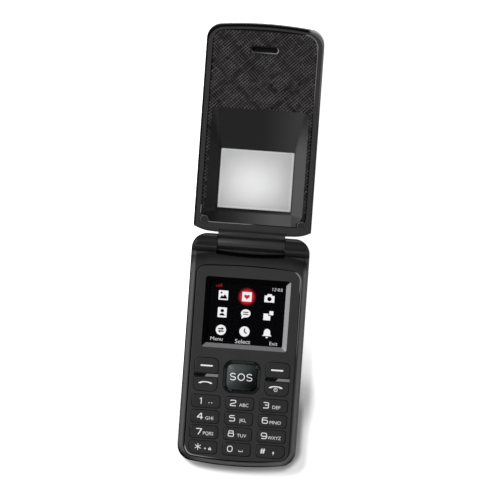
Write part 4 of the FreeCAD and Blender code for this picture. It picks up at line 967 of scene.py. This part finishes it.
figure_outlines = {
    "4": [[(0.6, 1.07), (0.84, 1.07), (0.84, 0.36), (1.05, 0.36), (1.05, 0.2), (0.84, 0.2), (0.84, -0.07),
           (0.66, -0.07), (0.66, 0.2), (-0.05, 0.2), (-0.05, 0.36)],
          [(0.66, 0.36), (0.66, 0.88), (0.17, 0.36)]],
    "7": [[(-0.05, 1.07), (1.05, 1.07), (1.05, 0.93), (0.5, -0.07), (0.29, -0.07), (0.82, 0.91),
           (-0.05, 0.91)]],
}


def star_loop():
    """Six narrow arms that meet at a waist."""
    loop = []
    for arm in range(6):
        along = Vector((math.cos(math.radians(60 * arm + 30)), math.sin(math.radians(60 * arm + 30))))
        side = Vector((-along.y, along.x)) * (star_waist / 2)
        notch = math.radians(60 * arm + 60)
        loop += [tuple(along * star_reach - side), tuple(along * star_reach + side),
                 (star_waist * math.cos(notch), star_waist * math.sin(notch))]
    return loop


def figure_mesh(figure, width=digit_width, height=digit_height, pen=digit_stroke, thickness=print_height):
    """A figure of the number keys or the clock, centred on the origin."""
    if figure == "*":
        return outline_mesh([star_loop()], thickness)
    wide = width - pen
    tall = height - pen

    def placed(points):
        return [((x - 0.5) * wide, (y - 0.5) * tall) for x, y in points]

    if figure in figure_outlines:
        return outline_mesh([placed(loop) for loop in figure_outlines[figure]], thickness)
    parts = []
    for index, (points, radius, *closed) in enumerate(figure_strokes[figure]):
        mesh = outline_mesh(stroke(placed(points), pen, radius * wide, bool(closed)), thickness)
        parts.append((mesh, lift(0, 0, index * 0.002 * MM), 0))
    return join_meshes("figure", parts)


# Legends on the keys

key_rows = (("key_1", "key_2", "key_3"), ("key_4", "key_5", "key_6"),
            ("key_7", "key_8", "key_9"), ("key_star", "key_0", "key_hash"))
key_figures = {"key_star": "*", "key_hash": "#"}
key_letters = {"key_2": "ABC", "key_3": "DEF", "key_4": "GHI", "key_5": "JKL", "key_6": "MNO",
               "key_7": "PQRS", "key_8": "TUV", "key_9": "WXYZ"}

# Generic marks beside the figures of the keys that carry no letters, in millimetres
small_marks = {
    "key_1": [rounded(-0.55, 0, 0.6, 0.26, 0.1), circle(0.6, 0, 0.24, 16)],
    "key_0": stroke([(-0.8, 0.35), (-0.8, -0.3), (0.8, -0.3), (0.8, 0.35)], 0.24),
    "key_hash": [[(0, 0.75), (-0.56, 0.1), (-0.22, 0.1), (-0.22, -0.4), (0.22, -0.4), (0.22, 0.1),
                  (0.56, 0.1)], rounded(0, -0.68, 0.44, 0.2, 0.05)],
    "key_star": [[(-1.02, 0.42), (-1.02, 0.12), (-1.32, 0.12), (-1.32, -0.12), (-1.02, -0.12),
                  (-1.02, -0.42), (-0.78, -0.42), (-0.78, -0.12), (-0.48, -0.12), (-0.48, 0.12),
                  (-0.78, 0.12), (-0.78, 0.42)],
                 rounded(1.2, -0.2, 1.2, 0.78, 0.12), circle(1.2, -0.2, 0.15, 12),
                 arc(1.2, 0.2, 0.42, 0.5, 0, 180, 12) + arc(1.2, 0.2, 0.24, 0.3, 180, 0, 12)],
}

# A telephone handset lying face down, as an arch with a pad at each end, and a ring with a tick in it
handset = [arc(0, -0.7, 3.1, 0.98, 163, 17, 20) + [(3.05, -0.72), (1.9, -0.74)]
           + arc(0, -0.7, 1.85, 0.52, 18, 162, 20) + [(-1.9, -0.74), (-3.05, -0.72)]]
ring_and_tick = ([circle(0, 0, 0.88, 32), circle(0, 0, 0.64, 32)], [rounded(0, 0.18, 0.22, 0.8, 0.08)])


def key_top(node):
    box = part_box(node)
    return centre(box).y, box[1].z


def printed(loops):
    """Mesh of loops drawn in millimetres."""
    return outline_mesh(scaled(loops, MM), print_height)


def add_number_legends(bright, dim):
    for row in key_rows:
        for digit_x, letter_x, node in zip(digit_columns, letter_columns, row):
            y, z = key_top(node)
            if node in key_letters:
                stretch = 1.05 if len(key_letters[node]) == 3 else 0.95
                mark = lettering(key_letters[node], letter_height, print_height, stretch)
            else:
                mark = printed(small_marks[node])
            parts = [(figure_mesh(key_figures.get(node, node[-1])), lift(digit_x, y + 0.05 * MM, z), 0),
                     (mark, lift(letter_x, y - 0.6 * MM, z), 1)]
            whole = join_meshes("legend_" + node, parts, (bright, dim))
            add_piece("legend_" + node, whole, node, None)


def add_side_legends(bright, dim):
    """Dashes on the soft keys, and handsets on the call and end keys."""
    for node, x in dash_places.items():
        y, z = key_top(node)
        dash = outline_mesh([rounded(0, 0, 5.3 * MM, 0.66 * MM, 0.1 * MM)], print_height)
        add_piece("legend_" + node, dash, node, bright, lift(x, y - 0.15 * MM, z))
    for node, x in handset_places.items():
        y, z = key_top(node)
        parts = [(printed(handset), lift(x, y + 0.98 * MM, z), 0)]
        if node == "end_key":
            parts += [(printed(loops), lift(x, y - 0.38 * MM, z), 1) for loops in ring_and_tick]
        add_piece("legend_" + node, join_meshes("legend_" + node, parts, (bright, dim)), node, None)


# Large key with a crowned face

def crown_spread(across, along):
    """How far out a place lies on the crown, given in parts of its half width and height: 1 at the rim."""
    return (abs(across) ** crown_corner + abs(along) ** crown_corner) ** (1 / crown_corner)


def crown_level(across, along):
    """Height of the crown over its rim's level."""
    return crown_rise - crown_fall * crown_spread(across, along) ** crown_power


def add_large_key(polish, bright):
    low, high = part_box("sos_key")
    middle = (low + high) / 2
    ring_low, ring_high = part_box("sos_ring")
    half_x = (ring_high.x - ring_low.x) / 2 - crown_inset
    half_y = (ring_high.y - ring_low.y) / 2 - crown_inset
    shape = bmesh.new()
    rings = [[shape.verts.new((middle.x, middle.y, high.z + crown_level(0, 0)))] * crown_sides]
    for spread in crown_steps:
        ring = []
        for side in range(crown_sides):
            angle = 2 * math.pi * side / crown_sides
            size = spread / crown_spread(math.cos(angle), math.sin(angle))
            across, along = math.cos(angle) * size, math.sin(angle) * size
            level = crown_level(across, along)
            if spread > crown_edge:
                level -= crown_edge_drop * ((spread - crown_edge) / (1 - crown_edge)) ** 2
            ring.append(shape.verts.new((middle.x + across * half_x, middle.y + along * half_y,
                                         high.z + level)))
        rings.append(ring)
    rings.append([shape.verts.new((v.co.x, v.co.y, low.z)) for v in rings[-1]])
    for number, (inner, outer) in enumerate(zip(rings, rings[1:])):
        for side in range(crown_sides):
            after = (side + 1) % crown_sides
            face = (inner[side], outer[side], outer[after], inner[after])
            shape.faces.new(face[:3] if number == 0 else face)
    shape.faces.new(rings[-1][::-1])
    bmesh.ops.recalc_face_normals(shape, faces=shape.faces)
    mesh = mesh_of("sos_cap", shape)
    for face in mesh.polygons:
        face.use_smooth = True
    mesh.set_sharp_from_angle(angle=math.radians(50))
    cap = add_piece("sos_cap", mesh, "sos_key", polish)
    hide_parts("sos_key")
    letter_s = (arc(0, sos_height * 0.25, sos_width * 0.46, sos_height * 0.25, 25, 270, 22)[:-1]
                + arc(0, -sos_height * 0.25, sos_width * 0.5, sos_height * 0.25, 90, -155, 22))
    letter_o = arc(0, 0, sos_width * 0.6, sos_height * 0.5, 0, 360, 48)[:-1]
    parts = []
    for x, points in zip(sos_places, (letter_s, letter_o, letter_s)):
        loops = stroke(points, sos_stroke, 0.0, points is letter_o)
        parts.append((outline_mesh(loops, print_height), lift(x, 0, 0), 0))
    legend = join_meshes("legend_sos_key", parts)
    for vertex in legend.vertices:
        level = crown_level(vertex.co.x / half_x, vertex.co.y / half_y)
        vertex.co += Vector((middle.x, middle.y, high.z + level + 0.01 * MM))
    add_piece("legend_sos_key", legend, "sos_key", bright)


# Screen: each small picture is a list of shapes, and each shape is a list of loops

def heart():
    loop = []
    for step in range(48):
        angle = 2 * math.pi * step / 48
        y = 13 * math.cos(angle) - 5 * math.cos(2 * angle) - 2 * math.cos(3 * angle) - math.cos(4 * angle)
        loop.append((16 * math.sin(angle) ** 3 / 27, y / 27))
    return loop


hills = [(-0.78, -0.72), (-0.3, 0.0), (-0.05, -0.3), (0.3, 0.2), (0.78, -0.42), (0.78, -0.72)]
camera_body = [(-1.05, -0.85), (1.05, -0.85), (1.05, 0.55), (0.6, 0.55), (0.38, 0.9), (-0.38, 0.9),
               (-0.6, 0.55), (-1.05, 0.55)]
shoulders = arc(0, -0.66, 0.55, 0.5, 0, 180, 12)
speech_tail = [(-0.8, -0.42), (-0.85, -1.05), (-0.2, -0.72)]
notched_tile = [(-1.0, -1.0), (0.45, -1.0), (0.45, -0.05), (0.0, -0.05), (0.0, 0.4), (-1.0, 0.4)]
arrow = [(-0.62, 0.12), (-0.62, 0.36), (0.12, 0.36), (0.12, 0.66), (0.66, 0.24), (0.12, -0.02), (0.12, 0.12)]
hands = [(-0.12, 0.64), (-0.12, -0.14), (0.42, -0.5), (0.55, -0.3), (0.12, -0.02), (0.12, 0.64)]
bell = [(-1.0, -0.62), (-0.72, -0.3)] + arc(0, 0.2, 0.66, 0.7, 180, 0, 12) + [(0.72, -0.3), (1.0, -0.62)]
icons = (
    ([[rounded(0, 0, 2, 2, 0.12), hills, circle(-0.42, 0.5, 0.2, 20)]],
     [],
     [[camera_body, circle(0, -0.14, 0.46, 28)]]),
    ([[rounded(0, 0, 1.9, 2.1, 0.12), circle(0, 0.35, 0.36, 24), shoulders]],
     [[circle(0, 0.12, 1.0, 40, 0.86), rounded(0, 0.36, 1.15, 0.2, 0.08), rounded(0, -0.08, 1.15, 0.2, 0.08)],
      [speech_tail]],
     [[notched_tile], [rounded(0.62, 0.55, 0.84, 0.84, 0.06)]]),
    ([[circle(0, 0, 1.08, 40), arrow, [(-px, -py) for px, py in arrow]]],
     [[circle(0, 0, 1.08, 40), hands]],
     [[bell], [rounded(0, -0.9, 0.5, 0.26, 0.12)]]),
)

# Words at the display's foot: text, place and height in millimetres
screen_words = (("Menu", -12.3, -11.7, 1.6), ("Select", -0.7, -12.2, 1.8), ("Exit", 12.9, -12.2, 1.5))


def add_screen():
    """What the display shows: signal bars, a clock, nine small pictures and three words."""
    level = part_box("lcd_module")[1].z + 0.005 * MM
    middle_y = centre(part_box("display_lens")).y
    rows = [middle_y + row for row in icon_rows]
    at_heart = (icon_columns[1], rows[0])
    tints = (glowing("screen_white", (252, 252, 252)), glowing("screen_red", (206, 40, 56), at_heart),
             glowing("screen_dim_red", (150, 30, 34)), glowing("screen_grey", (222, 222, 222)))
    white, red, dim_red, grey = range(4)
    on_screen = lift(0, 0, level)
    parts = []
    for y, icon_row in zip(rows, icons):
        for x, shapes in zip(icon_columns, icon_row):
            parts += [(outline_mesh(scaled(loops, icon_half, x, y), film), on_screen, white)
                      for loops in shapes]
    parts.append((outline_mesh([circle(*at_heart, 4.1 * MM, 48)], film), on_screen, red))
    tile = scaled([rounded(0, 0, 2, 2, 0.1), heart()], icon_half, *at_heart)
    parts.append((outline_mesh(tile, film), lift(0, 0, level + film), white))
    bars = [rounded(-13.9 * MM + step * 0.75 * MM, middle_y + (11.5 + step * 0.14) * MM, 0.45 * MM,
                    (0.5 + 0.28 * step) * MM, 0.08 * MM) for step in range(4)]
    parts.append((outline_mesh(bars, film), on_screen, dim_red))
    x = clock_x
    for figure in "12:00":
        if figure == ":":
            drawn = outline_mesh([circle(0, side * 0.3 * MM, 0.13 * MM, 12) for side in (-1, 1)], film)
            shift, advance = -0.24 * MM, 0.5 * MM
        else:
            drawn = figure_mesh(figure, 0.74 * MM, 1.4 * MM, 0.18 * MM, film)
            shift, advance = 0.0, 1.13 * MM
        parts.append((drawn, lift(x + shift, middle_y + clock_y, level), grey))
        x += advance
    parts += [(lettering(text, size * MM, film, 1.1), lift(x * MM, middle_y + y * MM, level), grey)
              for text, x, y, size in screen_words]
    add_piece("screen_picture", join_meshes("screen_picture", parts, tints), "base", None)


def add_washers(material):
    """Thin washers that close the gap between the barrel's ends and the knuckles."""
    shape = bmesh.new()
    radius = (barrel_end_r - 0.1) * MM
    count = 48
    turns = arc(0, 0, 1, 1, 0, 360, count)[:-1]
    for side in (-1, 1):
        rings = []
        for face, reach in ((-1, radius), (1, radius), (1, washer_bore), (-1, washer_bore)):
            x = side * washer_x + face * washer_half_thickness
            rings.append([shape.verts.new((x, hinge_y + reach * across, hinge_z + reach * up))
                          for across, up in turns])
        for near, far in zip(rings, rings[1:] + rings[:1]):
            for step in range(count):
                after = (step + 1) % count
                shape.faces.new((near[step], near[after], far[after], far[step]))
    bmesh.ops.recalc_face_normals(shape, faces=shape.faces)
    add_piece("hinge_washers", mesh_of("hinge_washers", shape), "base", material)


# Pieces made by geometry nodes

class Pattern(Graph):
    """A geometry tree with named inputs that ends in Realize Instances and Set Material."""

    def __init__(self, name, values):
        super().__init__(bpy.data.node_groups.new(name, "GeometryNodeTree"))
        self.values = values
        kinds = {float: "NodeSocketFloat", int: "NodeSocketInt"}
        for label, value in values.items():
            self.tree.interface.new_socket(label, in_out="INPUT", socket_type=kinds[type(value)])
        self.tree.interface.new_socket("Material", in_out="INPUT", socket_type="NodeSocketMaterial")
        self.tree.interface.new_socket("Geometry", in_out="OUTPUT", socket_type="NodeSocketGeometry")
        self.given = self.node("NodeGroupInput")

    def __getitem__(self, label):
        """One of the tree's inputs."""
        return self.given.out(label)

    def finish(self, instances, material):
        """Closes the tree, runs it once and returns the plain mesh."""
        realized = self.node("GeometryNodeRealizeInstances", {"Geometry": instances})
        painted = self.node("GeometryNodeSetMaterial", {"Geometry": realized, "Material": self["Material"]})
        self.node("NodeGroupOutput", {0: painted})
        holder = put("holder", bpy.data.meshes.new("holder"))
        modifier = holder.modifiers.new("pattern", "NODES")
        modifier.node_group = self.tree
        values = dict(self.values, Material=material)
        for item in self.tree.interface.items_tree:
            if item.in_out == "INPUT":
                modifier[item.identifier] = values[item.name]
        return mesh_from(holder)

    def vector(self, x, y, z):
        return self.node("ShaderNodeCombineXYZ", {0: x, 1: y, 2: z})

    def place(self, geometry, offset=(0, 0, 0), turn=(0, 0, 0)):
        return self.node("GeometryNodeTransform",
                         {"Geometry": geometry, "Translation": offset, "Rotation": turn})

    def row(self, count, offset):
        return self.node("GeometryNodeMeshLine", {"Count": count, "Offset": self.vector(offset, 0.0, 0.0)})

    def rod(self, sides, radius, length, turn):
        """Rod about the origin, laid down by a turn."""
        upright = self.node("GeometryNodeMeshCylinder",
                            {"Vertices": sides, "Radius": radius, "Depth": length})
        return self.place(upright, turn=turn)

    def repeat(self, points, instance, **others):
        return self.node("GeometryNodeInstanceOnPoints", {"Points": points, "Instance": instance, **others})

    def join(self, pieces):
        joined = self.node("GeometryNodeJoinGeometry")
        for piece in pieces:
            self.tree.links.new(piece.socket, joined.socket.node.inputs[0])
        return joined

    def noise(self, position, scale):
        at = self.node("ShaderNodeVectorMath", {0: position, 1: scale}, operation="MULTIPLY")
        return self.node("ShaderNodeTexNoise", {"Vector": at, "Scale": 1.0, "Detail": 1.0})


def crossed_threads(material):
    """Raised threads of the insert: short slanted lengths both ways, stronger and fainter by patches."""
    low, high = lid_box("lid_insert")
    funnel_low, funnel_high = lid_box("window_funnel")
    caps = lid_box("screw_caps")
    middle = (low + high) / 2
    pattern = Pattern("crossed_threads", {
        "Half Width": high.x - 0.4 * MM, "Half Length": (high.y - low.y) / 2 - 0.5 * MM, "Corner": 4.3 * MM,
        "Thread Length": 1.12 * MM, "Thread Width": 0.36 * MM, "Thread Height": 0.11 * MM,
        "Patch": 5.0 * MM, "Streak": 1.3 * MM, "Band": 9.0 * MM})
    count = 123
    span = (count - 1) * 1.1 * MM
    grid = pattern.node("GeometryNodeMeshGrid", {"Size X": span, "Size Y": span,
                                                    "Vertices X": count, "Vertices Y": count})
    position = pattern.node("GeometryNodeInputPosition")
    across, along, up = position.split()
    turn = math.sqrt(0.5)
    x = (across - along) * turn
    y = (across + along) * turn + middle.y
    outline = rounded_distance(x, y, (0.0, middle.y), (pattern["Half Width"], pattern["Half Length"]),
                               pattern["Corner"])
    room = 0.15 * MM
    funnel_high = funnel_high - Vector((funnel_lip, funnel_lip, 0)) * MM
    funnel_half = (funnel_high.y - funnel_low.y) / 2
    funnel = rounded_distance(x, y, (0.0, (funnel_low.y + funnel_high.y) / 2),
                              (funnel_high.x + room, funnel_half + room), 3.3 * MM)
    slot_middle = (0.0, centre(lid_box("earpiece_mesh")).y)
    slot = rounded_distance(x, y, slot_middle, (6.5 * MM, 1.85 * MM), 1.8 * MM)
    cap_middle = (caps[1].x - 1.9 * MM, centre(caps).y)
    cap = rounded_distance(abs(x), y, cap_middle, (2.7 * MM, 2.7 * MM), 2.65 * MM)
    clear = (outline < 0.0) * (funnel > 0.0) * (slot > 0.0) * (cap > 0.0)
    beside_funnel = 0.5 + y.step(funnel_high.y - 1.0 * MM, funnel_high.y) * 0.5
    thread = pattern.rod(4, 0.5, pattern["Thread Length"], (0, math.pi / 2, 0))
    patch_scale, streak_scale, band_scale = (1.0 / pattern[name] for name in ("Patch", "Streak", "Band"))
    patches = pattern.noise(position, pattern.vector(patch_scale, patch_scale, 7.0))
    squares = between_stripes(x, y)
    sets = []
    for scale, angle, favour in ((pattern.vector(band_scale, streak_scale, 3.0), 0.0, patches),
                                 (pattern.vector(streak_scale, band_scale, 5.0), math.pi / 2, 1.0 - patches)):
        streaks = pattern.noise(position, scale)
        strength = 0.1 + (streaks * 0.55 + favour * 0.45).step(0.42, 0.56) * 0.9
        strength = strength * (0.3 + squares * 0.7) * beside_funnel
        chosen = pattern.node("GeometryNodeDeleteGeometry",
                              {"Geometry": grid, "Selection": (clear * strength) < 0.14}, domain="POINT")
        points = pattern.node("GeometryNodeMeshToPoints", {"Mesh": chosen})
        size = pattern.vector(1.0, pattern["Thread Width"] * (0.55 + strength * 0.5),
                              pattern["Thread Height"] * (0.3 + strength * 1.1))
        sets.append(pattern.repeat(points, thread, Rotation=(0, 0, angle), Scale=size))
    turned = pattern.place(pattern.join(sets), offset=(0, middle.y, high.z), turn=(0, 0, math.pi / 4))
    add_piece("insert_threads", pattern.finish(turned, material), "lid", material, LID)


def wire_cloth(name, width, length, pitch, wire, material):
    """Woven wire screen lying level about the origin."""
    pattern = Pattern(name, {"Width": width, "Length": length, "Pitch": pitch, "Wire": wire})
    sets = []
    for size, span, angle, level in (("Width", "Length", 0.0, 0.5), ("Length", "Width", math.pi / 2, -0.5)):
        gap = pattern["Pitch"]
        count = pattern.math("FLOOR", pattern[size] / gap)
        start = pattern.vector((count - 1.0) * gap * -0.5, 0.0, pattern["Wire"] * level)
        line = pattern.place(pattern.row(count, gap), offset=start)
        rod = pattern.rod(6, pattern["Wire"] * 0.5, pattern[span], (math.pi / 2, 0, 0))
        sets.append(pattern.place(pattern.repeat(line, rod), turn=(0, 0, angle)))
    return pattern.finish(pattern.join(sets), material)


def add_grilles(dark_wire, steel):
    """Wire screens behind the earpiece slot and behind the loudspeaker's slots."""
    low, high = lid_box("earpiece_mesh")
    mesh = wire_cloth("earpiece_screen", high.x - low.x, high.y - low.y, 0.3 * MM, 0.075 * MM, dark_wire)
    piece = add_piece("earpiece_screen", mesh, "lid", dark_wire, LID @ lift(*centre((low, high))))
    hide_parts("earpiece_mesh")
    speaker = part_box("loudspeaker")
    mesh = wire_cloth("loudspeaker_screen", 10.4 * MM, 10.4 * MM, 0.34 * MM, 0.07 * MM, steel)
    add_piece("loudspeaker_screen", mesh, "base", steel,
              lift(*centre(speaker).xy, speaker[0].z - 0.09 * MM))


def add_socket_contacts(material):
    """Row of contact strips on the tongue of the charging socket."""
    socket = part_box("charging_port")
    middle = centre(socket)
    pattern = Pattern("socket_contacts", {"Pitch": contact_pitch, "Count": 5})
    strip = pattern.node("GeometryNodeMeshCube", {"Size": contact_size})
    strips = pattern.repeat(pattern.row(pattern["Count"], pattern["Pitch"]), strip)
    add_piece("socket_contacts", pattern.finish(strips, material), "base", material,
              lift(middle.x - 2 * contact_pitch, socket[0].y + 3.0 * MM, middle.z + 0.27 * MM))


# Dressing of the construction's own pieces

def dress(material, *nodes):
    for node in nodes:
        mesh = frame["nodes"][node].data
        mesh.materials.clear()
        mesh.materials.append(material)


def dress_all():
    dress(moulded("shell_front", shell_tone, 0.34, 0.16, 0.02, front_marks, body_parting), "front_housing")
    dress(moulded("shell_rear", shell_tone, 0.36, 0.16, 0.02, body_parting), "rear_housing")
    dress(moulded("lid_face", lid_tone, 0.34, 0.16, 0.02, lid_face_marks, lid_parting), "lid_inner_shell")
    dress(moulded("lid_back", shell_tone, 0.36, 0.16, 0.02, lid_parting), "lid_outer_shell")
    dress(moulded("shell_cover", shell_tone, 0.4, 0.16, 0.02), "battery_cover")
    dress(moulded("cap_plastic", shell_tone, 0.45, 0.12, 0.015, cap_marks), "screw_caps")
    dress(moulded("panel_satin", panel_tone, 0.4, 0.12, 0.012, panel_marks), "front_panel")
    dress(moulded("key_satin", shell_tone, 0.38, 0.12, 0.012), *(node for row in key_rows for node in row),
          *dash_places, *handset_places)
    dress(polished("ring_gloss", 0.06, 0.24, 0.04, ring_tint), "sos_ring")
    dress(painted_light_bar(), "key_bars")
    dress(crosshatch_ground(), "lid_insert")
    dress(funnel_moulding(), "window_funnel")
    dress(frosted_pane(), "window_pane")
    dress(clear_lens("lens_clear"), "display_lens")
    dress(clear_lens("camera_glass"), "camera_window")
    dress(dark_screen(), "lcd_module")
    dress(soft_rubber(), "keypad_mat")
    dress(circuit_board(), "main_board")
    steel = brushed_metal("steel_plated", (176, 176, 178), 0.28)
    dress(steel, "shield_can", "key_domes", "sim_holder", "charging_port", "housing_screws", "lid_screws",
          "hinge_shaft", "hinge_pivot", "vibration_motor", "lid_magnet")
    dress(brushed_metal("hinge_steel", (120, 120, 124), 0.35), "hinge_module")
    inner_black = moulded("inner_black", (26, 26, 28), 0.5, 0.2, 0.02)
    dress(inner_black, "antenna_carrier", "battery_contacts", "loudspeaker", "camera_module", "microphone",
          "earpiece_receiver")
    dress(jack_finish(), "headphone_jack")
    dress(battery_wrap(), "battery_pack")
    dress(flat_cable(), "board_flex", "lid_flex", "dome_sheet")
    return steel, inner_black


# Stage

def add_floor():
    """Pale floor with a second sheet under it, which fills the picture's foot in views from low down.

    What the camera, mirrors and glass see of it is lifted towards white by a glow that varies with place, and
    the real shadow stays under it: the glow is weaker close to the lower body's near end, a painted shadow
    that darkens and narrows the shadow there, and stronger beside the lid, a painted light that washes the
    lid's shadow out.
    """
    finish = Finish("floor_pale", roughness=0.9, specular=0.0, glow=1.0)
    path = finish.node("ShaderNodeLightPath")
    seen = (path.out("Is Camera Ray") + path.out("Is Glossy Ray") + path.out("Is Transmission Ray")).clamp()
    x, y, z = finish.place.split()
    away = distance_from(x - 12.0 * MM, y + 42.0 * MM)
    from_body = body_distance(x, y)
    # Glow by place: painted shadow close to the lower body's near end, painted light that hides the lid's
    # shadow
    amount = (0.17 + away.rise(22.0, 62.0) * 0.63 + away.step(0.15, 0.6) * 0.2
              + from_body.rise(1.0, 3.8) * y.rise(-18.0, -36.0) * 0.34 + y.rise(-16.0, -7.0) * 0.14
              - from_body.rise(3.4, 0.4) * y.rise(-17.0, -26.0) * 0.15)
    finish.feed("Emission Color", finish.blend(seen * amount, (0, 0, 0, 1), (1, 1, 1, 1)))
    finish.feed("Base Color", finish.blend(finish.grain(300.0), (0.9, 0.9, 0.9, 1), (0.93, 0.93, 0.93, 1)))
    shape = bmesh.new()
    for level in floor_levels:
        shape.faces.new([shape.verts.new((side_x * floor_reach, side_y * floor_reach, level))
                         for side_x, side_y in ((-1, -1), (1, -1), (1, 1), (-1, 1))])
    mesh = mesh_of("floor", shape)
    mesh.materials.append(finish.material)
    floor = put("floor", mesh)


def add_lamp(name, place, size, power):
    """Soft rectangular lamp that faces the phone's middle."""
    lamp = bpy.data.lights.new(name, "AREA")
    lamp.shape = "RECTANGLE"
    lamp.size, lamp.size_y = size
    lamp.energy = power
    holder = put(name, lamp)
    holder.location = place
    holder.rotation_euler = (lamp_aim - Vector(place)).to_track_quat("-Z", "Y").to_euler()


def add_stage():
    add_floor()
    scene = bpy.context.scene
    scene.world = bpy.data.worlds.new("studio")
    scene.world.use_nodes = True
    background = scene.world.node_tree.nodes["Background"]
    background.inputs["Color"].default_value = (0.97, 0.98, 1.0, 1)
    background.inputs["Strength"].default_value = world_level
    for lamp in lamps:
        add_lamp(*lamp)
    camera = bpy.data.cameras.new("camera")
    camera.type = "ORTHO"
    camera.ortho_scale = view_width
    camera.clip_start = 0.01
    camera.clip_end = 40
    holder = put("camera", camera)
    holder.location = camera_place
    holder.rotation_euler = (0, 0, camera_roll)
    scene.camera = holder
    scene.view_settings.view_transform = "Standard"


# The object

steel, inner_black = dress_all()
bright_ink = ink("legend_bright", legend_tone)
dim_ink = ink("legend_dim", small_legend_tone)
add_number_legends(bright_ink, dim_ink)
add_side_legends(bright_ink, dim_ink)
add_large_key(polished("key_gloss", 0.14, 0.37, 0.05, crown_painted_light), bright_ink)
add_screen()
crossed_threads(raised_thread())
add_grilles(brushed_metal("wire_dark", (20, 20, 21), 0.5), steel)
add_socket_contacts(brushed_metal("contact_gold", (214, 170, 92), 0.25))
add_washers(inner_black)
add_stage()
